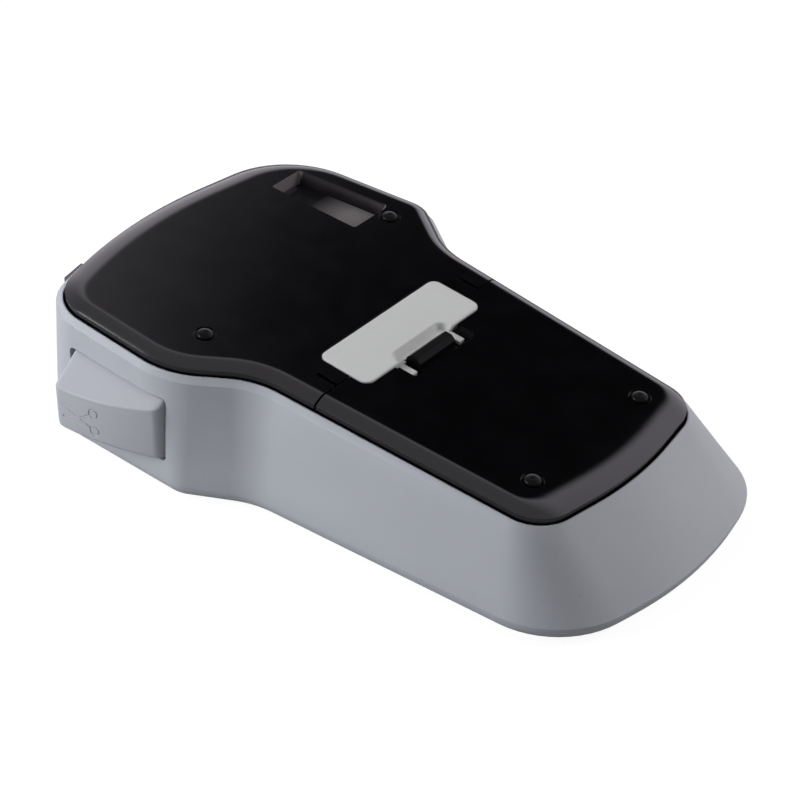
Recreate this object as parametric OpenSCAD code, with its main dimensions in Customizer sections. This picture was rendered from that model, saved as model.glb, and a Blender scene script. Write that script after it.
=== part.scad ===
// Handheld label printer, lying on its front with its back upwards.
// X runs across, Y from the battery end to the tape end, Z up from the front face.
// The back is tilted: lengths along it are named s, and depths below it are negative.

/* [Back] */
// Tilt of the back against the front face, in degrees
back_tilt = 6; // [5:0.5:7]
// Height of the back over the origin
back_h = 42.5; // [41:0.5:46]
// Width of the rounded edge of the doors
door_edge_w = 4.7; // [3.5:0.1:5.5]
// Width of the rounded edge at the tape end
head_edge_w = 7.8; // [6:0.1:8.5]
// Width of the rounded edge at the battery end
tail_edge_w = 9.5; // [8:0.1:10]
// Height of the rounded edge of the doors
door_edge_h = 2.2; // [1.6:0.1:3]
// Height of a door's edge, from the back down
door_skirt = 4.5; // [4:0.1:5.5]
// Thickness of a door's flat plate
door_plate = 2; // [1.6:0.1:2.4]
// Thickness of a door's edge wall
door_wall = 2; // [1.6:0.1:2.4]
// Gap between the doors and the rim round them
door_gap = 0.6; // [0.5:0.1:1]
// Where the two doors meet, along the back
split_s = 18.1; // [17:0.1:19]
// Gap between the two doors
split_gap = 0.7; // [0.5:0.1:1.2]

/* [Back outline] */
// Half width of the doors at the battery end
tail_half_w = 40; // [39:0.1:41]
// Place of the battery end's corners along the back
tail_corner_s = -64.6; // [-66:0.1:-63.5]
// Tip of the bowed battery end along the back
tail_crown_s = -70.9; // [-72.5:0.1:-70]
// Half width of the doors at the waist
waist_half_w = 46.2; // [45:0.1:47.5]
// Place of the waist along the back
waist_s = 40.6; // [39.5:0.1:42]
// Left shoulder, from the middle
shoulder_left = 63.5; // [62.5:0.1:65]
// Left shoulder, along the back
shoulder_left_s = 62.3; // [61:0.1:64]
// Right shoulder, from the middle
shoulder_right = 59.8; // [59:0.1:61]
// Right shoulder, along the back
shoulder_right_s = 60.6; // [59.5:0.1:62]
// Left corner of the tape end, across
head_left = 62.9; // [61.5:0.1:64]
// Left corner of the tape end, along the back
head_left_s = 112.1; // [111:0.1:113.5]
// Right corner of the tape end, across
head_right = 50.5; // [49.5:0.1:51.5]
// Right corner of the tape end, along the back
head_right_s = 114.7; // [113.5:0.1:116]
// Tip of the bowed tape end, left of the middle
head_crown_x = 18.3; // [16:0.1:20]
// Tip of the bowed tape end, along the back
head_crown_s = 124.4; // [123.5:0.1:125.5]
// Radius of the battery end's corners
tail_corner_r = 13; // [11:0.5:15]
// Radius of the waist's hollows
waist_r = 28; // [24:1:32]
// Radius of the left shoulder
shoulder_left_r = 28; // [22:1:32]
// Radius of the right shoulder
shoulder_r = 9.5; // [9:0.5:11]
// Radius of the tape end's left corner
head_corner_r = 16.5; // [14:0.5:17]
// Radius of the tape end's right corner
head_right_r = 31; // [26:1:34]
// Radius of the bowed tape end
head_crown_r = 157; // [140:1:160]
// Radius of the bowed battery end
tail_crown_r = 120; // [100:5:135]

/* [Front outline] */
// Half width of the front at the battery end
base_tail_half_w = 54.7; // [53:0.1:56]
// Sideways shift of the front's battery end
base_tail_shift = 1.9; // [0:0.1:2.5]
// Place of the front's battery end corners
base_tail_corner_y = -82; // [-83.5:0.1:-80.5]
// Tip of the front's bowed battery end
base_tail_crown_y = -93.8; // [-95:0.1:-92.5]
// Half width of the front at the waist
base_waist_half_w = 56.2; // [55:0.1:57]
// Place of the front's left waist
base_waist_left_y = 35.5; // [33:0.5:37]
// Place of the front's right waist
base_waist_right_y = 36; // [34:0.5:38]
// Left shoulder of the front, from the middle
base_shoulder_left = 67.1; // [66:0.1:68]
// Left shoulder of the front, along it
base_shoulder_left_y = 57.5; // [56:0.5:59]
// Right shoulder of the front, from the middle
base_shoulder_right = 62.2; // [61:0.1:63]
// Right shoulder of the front, along it
base_shoulder_right_y = 57; // [56:0.5:58]
// Left corner of the front's tape end, across
base_head_left = 64.5; // [64:0.1:65.5]
// Left corner of the front's tape end, along it
base_head_left_y = 116.3; // [115.3:0.1:117.3]
// Right corner of the front's tape end, across
base_head_right = 53.2; // [52:0.1:54]
// Right corner of the front's tape end, along it
base_head_right_y = 116.5; // [115.5:0.1:117.5]
// Tip of the front's bowed tape end
base_head_crown_y = 125.7; // [124.7:0.1:126.7]
// Radius of the front's battery end corners
base_tail_corner_r = 30; // [26:1:32]
// Radius of the front's waist hollows
base_waist_r = 30; // [26:1:34]
// Radius of the front's shoulders
base_shoulder_r = 13; // [11:1:15]
// Radius of the front's left tape end corner
base_head_corner_r = 10.5; // [10:0.5:12]
// Radius of the front's right tape end corner
base_head_right_r = 33; // [28:1:36]

/* [Case] */
// Thickness of the case wall
case_wall = 2.2; // [1.8:0.1:2.6]
// Radius of the case's front edge
front_edge_r = 6; // [5:0.5:7]
// Flat border of the case round the front cover
front_lip = 2.5; // [2:0.1:3]
// Height of the case's flange
front_flange_h = 2.4; // [2.2:0.1:3]
// Thickness of the rim round the doors
rim_t = 2.2; // [1.8:0.1:2.6]
// Depth of the rim below the back
rim_depth = 4.3; // [3.8:0.1:4.8]
// Width of the rim's slanted outer edge
rim_slant = 1.8; // [1.2:0.1:2]
// Thickness of the front cover
cover_t = 2.2; // [1.8:0.1:2.4]
// Gap between the front cover and the case
cover_gap = 0.2; // [0.1:0.05:0.4]

/* [Tab and battery latch] */
// Half width of the fixed tab
tab_half_w = 28.3; // [26:0.1:28.5]
// Battery side of the tab, along the back
tab_s0 = 11.6; // [11.2:0.1:12.5]
// Tape side of the tab, along the back
tab_s1 = 31.4; // [29.5:0.1:31.8]
// Corner radius of the tab
tab_r = 3; // [2:0.1:4]
// Thickness of the tab
tab_t = 3; // [2.6:0.1:3.2]
// How far the tab stands above the back
tab_proud = 0.3; // [0:0.1:0.6]
// Gap between the tab and the doors
tab_gap = 0.5; // [0.4:0.1:0.8]
// Half width of the finger scoop in the tab
scoop_half_w = 13; // [12.5:0.1:14]
// Length of the scoop into the tab
scoop_l = 4.6; // [4:0.1:5.5]
// Depth of the scoop's floor below the back
scoop_depth = 1.6; // [1.4:0.1:2.2]
// Length of the tab's two prongs
prong_l = 5.6; // [5:0.1:6.6]
// Width of a prong
prong_w = 2.6; // [2:0.1:2.8]
// Half width of the latch bar
latch_half_w = 8.7; // [8.5:0.1:9.3]
// Length of the latch bar along the back
latch_l = 5.4; // [4.6:0.1:5.6]
// Gap between the latch bar and the tab
latch_gap = 0.6; // [0.5:0.1:0.8]
// How far the latch slides
latch_travel = 1.2; // [0.8:0.1:1.4]
// How far the latch bar stands above the back
latch_proud = 1.2; // [0.3:0.1:1.4]

/* [Feet, slits and window] */
// Feet on the cassette door, from the middle
foot_head_x = 44.9; // [44:0.1:46]
// Feet on the cassette door, along the back
foot_head_s = 63.5; // [62:0.1:65]
// Feet on the battery door, from the middle
foot_tail_x = 27.3; // [26.5:0.1:28]
// Feet on the battery door, along the back
foot_tail_s = -51.4; // [-52.5:0.1:-50.5]
// Radius of the ring recess round a foot
foot_ring_r = 3.3; // [3:0.1:3.6]
// Radius of a foot
foot_r = 2.4; // [2:0.1:2.6]
// Depth of the ring recess
foot_recess = 0.8; // [0.5:0.1:1]
// How far a foot stands above the back
foot_proud = 1.2; // [0.8:0.1:1.6]
// Snap slits, from the middle
slit_x = 34.9; // [34:0.1:36]
// Width of a snap slit
slit_w = 1.5; // [1:0.1:2]
// Length of a snap slit
slit_l = 8; // [6:0.1:9]
// Left side of the window at the tape end
window_left = 29.4; // [28.5:0.1:30.5]
// Left side of the window at the waist
window_left_low = 31.6; // [30.5:0.1:32.5]
// Right side of the window at the tape end
window_right = 43.4; // [42:0.1:44]
// Right side of the window at the waist
window_right_low = 49.2; // [48:0.1:49.6]
// Waist side of the window, along the back
window_s0 = 67.4; // [67:0.1:69]
// Tape side of the window, along the back
window_s1 = 102.4; // [101:0.1:103]
// Corner radius of the window
window_r = 2.5; // [2.3:0.1:3]
// Depth of the window's sunk floor
window_depth = 4.2; // [3.6:0.1:4.4]
// How far the window's walls lean in
window_lean = 1.5; // [1:0.1:1.8]
// Wall of the window's sunk frame
window_wall = 1.2; // [1:0.1:1.4]
// Thickness of the clear window pane
pane_t = 1; // [0.8:0.1:1.2]

/* [Door hinges] */
// Radius of the hinge pins
hinge_pin_r = 1.2; // [1:0.1:1.4]
// Depth of the hinge axes below the back
hinge_depth = 3.2; // [3.1:0.1:3.4]
// Running clearance of a door on its pins
hinge_clear = 0.06; // [0.02:0.01:0.09]
// Radius of a hinge knuckle on a door
knuckle_r = 2.2; // [2.1:0.1:2.3]
// Radius of a fixed hinge lug
lug_r = 1.7; // [1.6:0.1:1.8]
// Width of a hinge lug
lug_w = 3.6; // [3:0.1:4.5]
// Width of a hinge knuckle
knuckle_w = 4.6; // [4:0.1:6]
// Gap between a lug and its knuckle
knuckle_gap = 0.3; // [0.2:0.1:0.5]
// Flat foot under a knuckle, beyond its round
knuckle_foot = 0.3; // [0.2:0.1:0.4]
// Cassette door's hinge axis, along the back
head_hinge_s = 107; // [106.5:0.1:107.5]
// Left lug of the cassette door's hinge
head_lug_left = -24; // [-26:0.5:-22]
// Right lug of the cassette door's hinge
head_lug_right = 28; // [26:0.5:29]
// Battery door's hinge axis, along the back
tail_hinge_s = -59.5; // [-60:0.1:-59.3]
// Lugs of the battery door's hinge, from the middle
tail_lug_x = 27; // [25:0.5:28]

/* [Inner frame] */
// Depth of the mechanism deck below the back
deck_depth = 28; // [27.5:0.1:28.5]
// Thickness of the deck
deck_t = 2; // [1.6:0.1:2.2]
// Gap between the deck and the rim's inner face
deck_gap = 2; // [1.5:0.1:3]
// Battery side of the deck, along the back
deck_s0 = 20; // [18:0.5:21]
// Left edge of the deck beside the cutter
deck_cut_x = -46.5; // [-46.8:0.1:-46.4]
// Where the deck's cut beside the cutter begins
deck_cut_s = 55; // [54:0.5:57]
// Where the deck ends before the blade
deck_blade_s = 99.5; // [99:0.1:100]
// Radius of a leg that stands on the front cover
leg_r = 3; // [2.6:0.1:3.2]
// Height of the front cover's bosses
boss_top = 10; // [9.8:0.1:11]
// Radius of the screws' shafts
screw_r = 1.2; // [1:0.1:1.4]
// Radius of the screws' heads
screw_head_r = 2.2; // [2:0.1:2.4]
// Height of the screws' heads
screw_head_h = 1.6; // [1.4:0.1:2]
// Clearance of the screws in the legs
screw_clear = 0.2; // [0.1:0.05:0.3]
// Wall of the battery tray and the cassette bay
bay_wall = 1.4; // [1.2:0.1:1.8]

/* [Batteries] */
// Radius of a battery
cell_r = 5.25; // [5:0.05:5.3]
// Length of a battery without its button
cell_l = 43.7; // [43:0.1:44]
// Radius of a battery's button
button_r = 1.9; // [1.6:0.1:2.2]
// Height of a battery's button
button_h = 0.8; // [0.6:0.1:1]
// Number of batteries side by side
cell_count = 6; // [4:1:6]
// Gap between batteries
cell_gap = 0.3; // [0.2:0.05:0.4]
// Depth of the batteries' axes below the back
cell_depth = 8.6; // [8.2:0.1:9]
// Length of a contact spring
spring_l = 4.6; // [4:0.1:5]
// Wire radius of a contact spring
spring_wire_r = 0.35; // [0.25:0.05:0.4]
// Largest radius of a contact spring
spring_r = 3.2; // [2.8:0.1:3.6]
// Turns of a contact spring
spring_turns = 3; // [3:1:4]
// Thickness of a contact plate
contact_t = 0.4; // [0.3:0.05:0.5]
// Tape side of the battery bay, along the back
bay_s1 = -4; // [-5:0.1:-3.6]

/* [Cassette] */
// Left side of the cassette
cassette_x0 = -26; // [-27:0.5:-25]
// Right side of the cassette
cassette_x1 = 43; // [42:0.5:43.5]
// Waist side of the cassette, along the back
cassette_s0 = 58.5; // [57.5:0.5:60]
// Tape side of the cassette, along the back
cassette_s1 = 101; // [100:0.1:101.3]
// Depth of the cassette's top below the back
cassette_depth = 9; // [8.5:0.1:10]
// Wall of the cassette
cassette_wall = 1.2; // [1:0.1:1.5]
// Gap between the cassette and its bay
cassette_gap = 0.3; // [0.2:0.1:0.5]
// Radius of the label tape roll
roll_r = 15; // [13:0.5:16]
// Radius of the roll's core bore
core_bore_r = 4; // [3.5:0.1:4.5]
// Radius of the fresh ribbon roll
ribbon_r = 8; // [7:0.5:9]
// Radius of the used ribbon roll
used_ribbon_r = 6; // [5:0.5:7]
// Width of the label tape
tape_w = 12; // [9:1:12]
// Thickness of the label tape
tape_t = 0.15; // [0.1:0.05:0.2]
// Running clearance of rolls, gears and shafts
run_clear = 0.06; // [0.02:0.01:0.09]

/* [Print mechanism] */
// Platen roller axis, from the middle
platen_x = -39; // [-39.5:0.1:-38.5]
// Platen roller axis, along the back
platen_s = 93; // [92:0.1:93.5]
// Radius of the rubber platen roller
platen_r = 4; // [3.6:0.1:4.2]
// Radius of the platen shaft and the gear pins
shaft_r = 1.5; // [1.2:0.1:1.7]
// Gap between the platen roller and the print head
print_gap = 0.35; // [0.3:0.05:0.5]
// Thickness of the print head
print_head_t = 0.9; // [0.7:0.1:1.2]
// Length of the print head along the back
print_head_l = 8; // [7:0.1:9]
// Thickness of the print head's bracket
bracket_t = 2; // [1.6:0.1:2.2]
// Motor axis, from the middle
motor_x = -37.6; // [-38:0.1:-37]
// Motor axis, along the back
motor_s = 67; // [66:0.1:68]
// Radius of the motor
motor_r = 7.75; // [7:0.05:8]
// Length of the motor
motor_l = 18; // [16:0.5:19]
// Radius of the motor's shaft
motor_shaft_r = 1; // [0.8:0.05:1.2]
// Size of the gear teeth, as pitch diameter over count
gear_module = 0.8; // [0.75:0.05:0.85]
// Teeth of the motor's pinion
pinion_teeth = 12; // [12:1:13]
// Teeth of the idler gear
idler_teeth = 30; // [29:1:31]
// Teeth of the platen gear
platen_teeth = 18; // [17:1:19]
// Teeth of the take-up gear
takeup_teeth = 20; // [19:1:21]
// Thickness of the gears
gear_t = 4; // [3:0.1:4.5]
// Gap between the deck and the gears
gear_gap = 0.4; // [0.3:0.1:0.6]

/* [Cutter] */
// Cutter pivot, left of the middle
pivot_x = -58.8; // [-59:0.1:-58.6]
// Cutter pivot, place along the front
pivot_y = 69.5; // [69:0.1:70]
// Radius of the cutter's pivot pin
pivot_r = 1.5; // [1.3:0.1:1.6]
// Radius of the lever's barrel on the pin
barrel_r = 3; // [2.8:0.1:3.2]
// End of the lever beside the pivot
lever_y0 = 62.2; // [62:0.1:65]
// End of the lever that is pressed
lever_y1 = 100.6; // [100:0.1:101]
// Underside of the lever
lever_z0 = 13.6; // [13.4:0.1:14]
// Top of the lever in the wall, beside the pivot
lever_top0 = 35.3; // [35:0.1:35.8]
// Top of the lever in the wall, at the pressed end
lever_top1 = 37.9; // [37:0.1:38]
// Outer face of the lever beside the pivot, left of the middle
lever_out0 = 67.9; // [67.5:0.1:68.5]
// Outer face of the lever halfway
lever_out_mid = 73.9; // [71.5:0.1:74.5]
// Outer face of the lever at the pressed end
lever_out1 = 76; // [74:0.1:76.5]
// Upper edge of the outer face beside the pivot
lever_edge0 = 32.8; // [30.5:0.1:33.2]
// Upper edge of the outer face halfway
lever_edge_mid = 30.4; // [25.5:0.1:31]
// Upper edge of the outer face at the pressed end
lever_edge1 = 30.1; // [26:0.1:31]
// Inner face of the lever, left of the middle
lever_in = 62.8; // [62.5:0.1:63]
// Gap between the lever and its slot in the wall
lever_gap = 0.6; // [0.5:0.1:0.8]
// Thickness of the cutter blade
blade_t = 0.8; // [0.6:0.1:1]
// Height of the blade above its arm
blade_h = 22; // [20:0.5:22.5]
// Gap beyond the lever's pressed end
lever_swing_gap = 2.2; // [2:0.1:3]
// Wall of the sleeve round the pivot pin
sleeve_t = 1; // [0.8:0.1:1.1]
// Gap between the return spring and the sleeve
spring_gap = 0.3; // [0.2:0.1:0.4]
// Radius of the return spring's wire
return_wire_r = 0.4; // [0.3:0.05:0.45]
// Turns of the return spring
return_turns = 5; // [4:1:5]

/* [Tape exit] */
// Width of the tape exit's channel
exit_w = 5; // [4.6:0.1:5.4]
// Wall of the tape exit's mouth
exit_wall = 1.5; // [1.2:0.1:1.7]
// How far the mouth stands out of the case
exit_proud = 2; // [1:0.1:2.4]
// Width of the mouth's outer collar
exit_flange = 1; // [0.6:0.1:1.4]
// Gap between the mouth and the case
exit_gap = 0.3; // [0.2:0.1:0.4]

/* [Front side] */
// Half width of the display lens
lens_half_w = 31; // [29:0.5:32]
// Battery side of the display lens
lens_y0 = 66; // [65:0.5:67]
// Tape side of the display lens
lens_y1 = 98; // [96:0.5:100]
// Thickness of the display lens
lens_t = 1.4; // [1:0.1:1.5]
// How far the lens lies below the front face
lens_sunk = 0.3; // [0.2:0.1:0.5]
// Width of the ledge that carries the lens
lens_ledge = 2.5; // [2:0.1:3]
// Thickness of the display panel
lcd_t = 2.8; // [2.4:0.1:3]
// Radius of a letter key
key_r = 3.3; // [3:0.1:3.5]
// Spacing of the letter keys across
key_pitch_x = 8.4; // [8.2:0.1:8.6]
// Spacing of the letter keys along the front
key_pitch_y = 10; // [9.5:0.1:10.2]
// Columns of letter keys
key_columns = 10; // [9:1:10]
// Rows of letter keys
key_rows = 4; // [3:1:4]
// Row of letter keys nearest the battery end
key_first_y = -42; // [-42.5:0.5:-41]
// Gap between a key and the front cover
key_gap = 0.3; // [0.2:0.05:0.4]
// How far the keys lie below the front face
key_sunk = 0.4; // [0.3:0.1:0.6]
// Thickness of the keypad mat
mat_t = 1.2; // [1:0.1:1.5]
// Travel of a function key
key_travel = 0.8; // [0.5:0.1:1]
// Radius of a function key
fkey_r = 4.2; // [3.8:0.1:4.4]
// Radius of the print key
print_key_r = 5.6; // [5.2:0.1:5.8]
// Width of a function key's inner flange
fkey_flange = 0.9; // [0.7:0.1:1]
// Spacing of the function keys
fkey_pitch = 13; // [12.8:0.1:13.2]
// Middle of the function keys along the front
fkey_y = 34; // [33:0.5:35]
// Half width of the circuit board
board_half_w = 33; // [32:0.5:33.4]
// Battery side of the circuit board
board_y0 = -65; // [-66:0.5:-64]
// Tape side of the circuit board
board_y1 = 60; // [58:0.5:61]
// Thickness of the circuit board
board_t = 1.6; // [1.2:0.1:1.8]
// Height of the posts that carry the circuit board
board_z = 6.8; // [6.4:0.1:7]
// Radius of a board post
post_r = 2.2; // [2:0.1:2.5]

/* [Power inlet] */
// Place of the power inlet along the front
jack_y = 72; // [71:0.5:74]
// Height of the power inlet's axis
jack_z = 13; // [12.5:0.1:13.5]
// Radius of the power inlet's bore
jack_bore_r = 2.8; // [2.6:0.05:3]
// Depth of the power inlet's bore
jack_bore_l = 9; // [8:0.5:10]
// Radius of the power inlet's nose
jack_nose_r = 4; // [3.8:0.1:4.3]
// Width and height of the power inlet's body
jack_body = 9; // [8.6:0.1:9.2]
// Outer end of the power inlet
jack_x1 = 58.7; // [58.3:0.1:59.1]
// Length of the power inlet's body
jack_body_l = 12; // [11:0.5:13]
// Length of the power inlet's nose
jack_nose_l = 6; // [5.6:0.1:6.2]

/* [Hidden] */
$fn = 48;
// Points on each rounded corner of the outlines, less one
arc_steps = 6;
// Steps in a rounded edge
edge_steps = 3;
key_light = [0.82, 0.83, 0.85];
steel = [0.75, 0.75, 0.77];
gear_white = [0.9, 0.88, 0.8];
cassette_white = [0.85, 0.85, 0.83];
// Small overlap that makes cuts clean
eps = 0.05;
// Outline rows: a corner's X, its place along the part and its radius
door_corners = [
    [-head_left, head_left_s, head_corner_r], [-shoulder_left, shoulder_left_s, shoulder_left_r],
    [-waist_half_w, waist_s, waist_r], [-tail_half_w, tail_corner_s, tail_corner_r],
    [0, tail_crown_s, tail_crown_r], [tail_half_w, tail_corner_s, tail_corner_r],
    [waist_half_w, waist_s, waist_r], [shoulder_right, shoulder_right_s, shoulder_r],
    [head_right, head_right_s, head_right_r], [-head_crown_x, head_crown_s, head_crown_r]];
base_corners = [
    [-base_head_left, base_head_left_y, base_head_corner_r],
    [-base_shoulder_left, base_shoulder_left_y, base_shoulder_r],
    [-base_waist_half_w, base_waist_left_y, base_waist_r],
    [base_tail_shift - base_tail_half_w, base_tail_corner_y, base_tail_corner_r],
    [base_tail_shift, base_tail_crown_y, tail_crown_r],
    [base_tail_shift + base_tail_half_w, base_tail_corner_y, base_tail_corner_r],
    [base_waist_half_w, base_waist_right_y, base_waist_r],
    [base_shoulder_right, base_shoulder_right_y, base_shoulder_r],
    [base_head_right, base_head_right_y, base_head_right_r],
    [-head_crown_x, base_head_crown_y, head_crown_r]];
flat_corners = [for (i = [0:len(door_corners) - 1]) flat_corner(door_corners, i)];
window_corners = [[window_left_low, window_s0, window_r], [window_right_low, window_s0, window_r],
    [window_right, window_s1, window_r], [window_left, window_s1, window_r]];
// Far beyond the part, for cuts that split it
reach = 200;
front_inset = front_edge_r + front_lip;
rim_out = door_gap + rim_t;
door_s1 = split_s - split_gap / 2;
cassette_door_s0 = split_s + split_gap / 2;
tab_slot_l = 1;
latch_s1 = tab_s0 + tab_slot_l - latch_gap;
latch_s0 = latch_s1 - latch_l;
latch_room = 1.8;
latch_room_s0 = latch_s0 - latch_travel - latch_room;
recess_half_w = scoop_half_w + 2.4;
recess_r = 2.2;
latch_guide_l = 4;
latch_base_s0 = latch_room_s0 - latch_guide_l;
latch_base_t = 1.2;
latch_chamfer = 1.1;
rail_x = latch_half_w + 0.3;
rail_t = 1.2;
rail_lip = 1.8;
rail_low = -door_plate - latch_base_t - 1.4;
prong_x = scoop_half_w - prong_w;
bridge_t = 2.2;
deck_z = -deck_depth;
deck_under = -deck_depth - deck_t;
cell_pitch = 2 * cell_r + cell_gap;
bay_half_w = cell_count * cell_pitch / 2 + cell_gap;
bay_l = cell_l + button_h + spring_l + 2 * contact_t + 1;
bay_s0 = bay_s1 - bay_l;
tray_floor = -(cell_depth + cell_r + cell_gap);
tray_top = -(door_skirt + 1.7);
tray_under = tray_floor - bay_wall;
leg_gap = 0.3;
tray_flange_w = bay_half_w + bay_wall + 2 * (leg_r + leg_gap);
tail_leg_x = bay_half_w + bay_wall + leg_r + leg_gap;
deck_blade_x = platen_x + 5;
// Legs on the front cover, in its own X and Y
tail_leg_y0 = back_y(bay_s0 - bay_wall, tray_under) + leg_r + leg_gap;
tail_leg_y1 = back_y(bay_s1 + bay_wall, tray_under) - leg_r - leg_gap;
waist_leg_x = waist_half_w - deck_gap - leg_r - leg_gap;
waist_leg_y = waist_s + 5.4;
head_leg_x = cassette_x1 - 7;
leg_in = leg_r + leg_gap;
leg_places = [[-tail_leg_x, tail_leg_y0], [tail_leg_x, tail_leg_y0], [-tail_leg_x, tail_leg_y1],
    [tail_leg_x, tail_leg_y1], [-waist_leg_x, waist_leg_y], [waist_leg_x, waist_leg_y],
    [deck_blade_x + leg_in, back_y(head_hinge_s, deck_under) - leg_in],
    [head_leg_x, back_y(cassette_s1, deck_under) - leg_in]];
screw_seat_t = 3;
board_screw_l = board_z + board_t - cover_t - 0.7;
case_screw_l = boss_top + screw_seat_t - cover_t - 1.8;
post_x = board_half_w - 4;
post_y0 = board_y0 + 3.5;
post_y1 = board_y1 - 3.5;
post_places = [[-post_x, post_y0], [post_x, post_y0], [-post_x, post_y1], [post_x, post_y1]];
// Chips and connectors on the board: X, Y, width, length and height
chips = [[-8, 4, 16, 16, 1.4], [-22, 8, 9, 7, 1.2], [14, 30, 8, 6, 1.2], [-20, -40, 14, 6, 2.4],
    [10, -48, 12, 6, 2.4]];
cassette_top = -cassette_depth;
cassette_floor = deck_z + cassette_gap;
cassette_r = 4;
cassette_corners = block_corners(cassette_x0, cassette_s0, cassette_x1, cassette_s1, cassette_r);
tape_rise = 0.85;
tape_mid = cassette_floor + tape_rise + tape_w / 2;
roll_low = cassette_floor + cassette_wall + 0.4;
roll_top_gap = 1.4;
roll_h = cassette_top - cassette_wall - roll_top_gap - roll_low;
gear_top = deck_under - gear_gap;
pitch_of = gear_module / 2;
pinion_to_idler = (pinion_teeth + idler_teeth) * pitch_of;
idler_to_platen = (idler_teeth + platen_teeth) * pitch_of;
idler_to_takeup = (idler_teeth + takeup_teeth) * pitch_of;
motor_at = [motor_x, motor_s];
platen_at = [platen_x, platen_s];
idler_at = apex(motor_at, platen_at, pinion_to_idler, idler_to_platen);
takeup_angle = 15;
takeup_at = idler_at + idler_to_takeup * [cos(takeup_angle), sin(takeup_angle)];
roll_at = [cassette_x1 - cassette_wall - roll_r - 1.5, cassette_s0 + cassette_wall + roll_r + 2.5];
ribbon_at = [cassette_x0 + cassette_wall + ribbon_r + 3, cassette_s0 + cassette_wall + ribbon_r + 1.5];
print_face_x = platen_x - platen_r - print_gap;
tape_l = 13;
feed_s = platen_s - tape_l;
bend_s = platen_s - 7;
exit_x = print_face_x + print_gap / 2;
exit_x0 = exit_x - exit_w / 2 - exit_wall;
exit_x1 = exit_x + exit_w / 2 + exit_wall;
exit_in_y = end_y(exit_x0) - case_wall - 1.6;
// The tape leaves at its own height at the end wall
exit_z0 = back_z(base_head_left_y, tape_mid - tape_w / 2) - 0.9;
exit_z1 = back_z(base_head_left_y, tape_mid + tape_w / 2) + 0.9;
exit_collar_z = back_z(base_head_left_y, -rim_depth - rim_slant - exit_gap) - 1;
bracket_z0 = 10;
bracket_z1 = 39.5;
bracket_x1 = deck_cut_x - 0.3;
bracket_plate_t = 2.2;
arm_z0 = lever_z0 + 0.6;
arm_z1 = arm_z0 + 3;
arm_y0 = lever_y1 - 12;
arm_t = 1.5;
arm_h = arm_z1 - arm_z0;
blade_y = lever_y1 + 5.9;
web_h = 4;
web_z0 = lever_z0 + 0.6;
web_z1 = lever_top0 - 1 - web_h;
blade_x0 = -lever_in + 7.8;
blade_x1 = -lever_in + 14.4;
fkey_top = cover_t + 0.2;
flex_t = 0.3;
flex_half_w = 12;
flex_plug_half_w = 14;
flex_overlap = 5;
jack_x0 = jack_x1 - jack_nose_l - jack_body_l;
jack_room = 0.5;
jack_half = jack_body / 2 + jack_room;
fkey_spots = [["ok_key", 0, 0], ["up_key", 0, 1], ["down_key", 0, -1], ["left_key", -1, 0],
    ["right_key", 1, 0],
    ["power_key", -2, 1], ["print_key", 2, -1], ["back_key", 2, 1], ["format_key", -2, 0],
    ["settings_key", -2, -1], ["symbol_key", 2, 0], ["save_key", 1, -1]];

// Plane geometry of the outlines
function xy(p) = [p[0], p[1]];
function unit(a) = a / norm(a);
function cross2(a, b) = a[0] * b[1] - a[1] * b[0];
// Arc that rounds one corner, grown outwards by a distance
function corner_arc(v, i, grow) = let(
    k = len(v),
    p = xy(v[i]),
    a = unit(xy(v[(i + k - 1) % k]) - p),
    b = unit(xy(v[(i + 1) % k]) - p),
    side = cross2(b, a) > 0 ? 1 : -1,
    half = acos(a * b) / 2,
    centre = p + unit(a + b) * v[i][2] / sin(half),
    start = p + a * v[i][2] / tan(half) - centre,
    first = atan2(start[1], start[0]),
    r = v[i][2] + side * grow
) [for (j = [0:arc_steps])
    let(g = first + side * (180 - 2 * half) * j / arc_steps) centre + r * [cos(g), sin(g)]];
function outline(v, grow) = [for (i = [0:len(v) - 1]) each corner_arc(v, i, grow)];
// Width of the rounded edge on the side that ends at a corner
function side_edge_w(i, k) =
    i == 0 || i == k - 1 ? head_edge_w : i == 4 || i == 5 ? tail_edge_w : door_edge_w;
// Corner of the doors' flat top
function flat_corner(v, i) = let(
    k = len(v),
    p = xy(v[i]),
    a = unit(xy(v[(i + k - 1) % k]) - p),
    b = unit(xy(v[(i + 1) % k]) - p),
    before = side_edge_w(i, k),
    after = side_edge_w((i + 1) % k, k),
    turn = cross2(b, a)
) concat(p + (a * after + b * before) / turn, v[i][2] - sign(turn) * (before + after) / 2);
// Third corner of a triangle right of a line, from its sides
function apex(p, q, to_p, to_q) = let(
    base = norm(q - p),
    u = (q - p) / base,
    along = (to_p * to_p - to_q * to_q + base * base) / (2 * base),
    off = sqrt(to_p * to_p - along * along)
) p + u * along + off * [u[1], -u[0]];
// Angle of the line from one point to another
function bearing(p, q) = atan2(q[1] - p[1], q[0] - p[0]);
// A point of the tilted back in the part's own frame
function back_point(x, s, d) = [x, s * cos(back_tilt) - d * sin(back_tilt),
    back_h + s * sin(back_tilt) + d * cos(back_tilt)];
function back_y(s, d) = back_point(0, s, d)[1];
function back_z(s, d) = back_point(0, s, d)[2];
// Place of the tape end's left wall at a given X
function end_y(x) = base_head_left_y
    + (base_head_crown_y - base_head_left_y) * (x + base_head_left) / (base_head_left - head_crown_x);
function back_ring(grow, d) = [for (p = outline(door_corners, grow)) back_point(p[0], p[1], d)];
function base_ring(grow, z) = [for (p = outline(base_corners, grow)) [p[0], p[1], z]];
function flat_ring(v, grow, d) = [for (p = outline(v, grow)) [p[0], p[1], d]];
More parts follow.
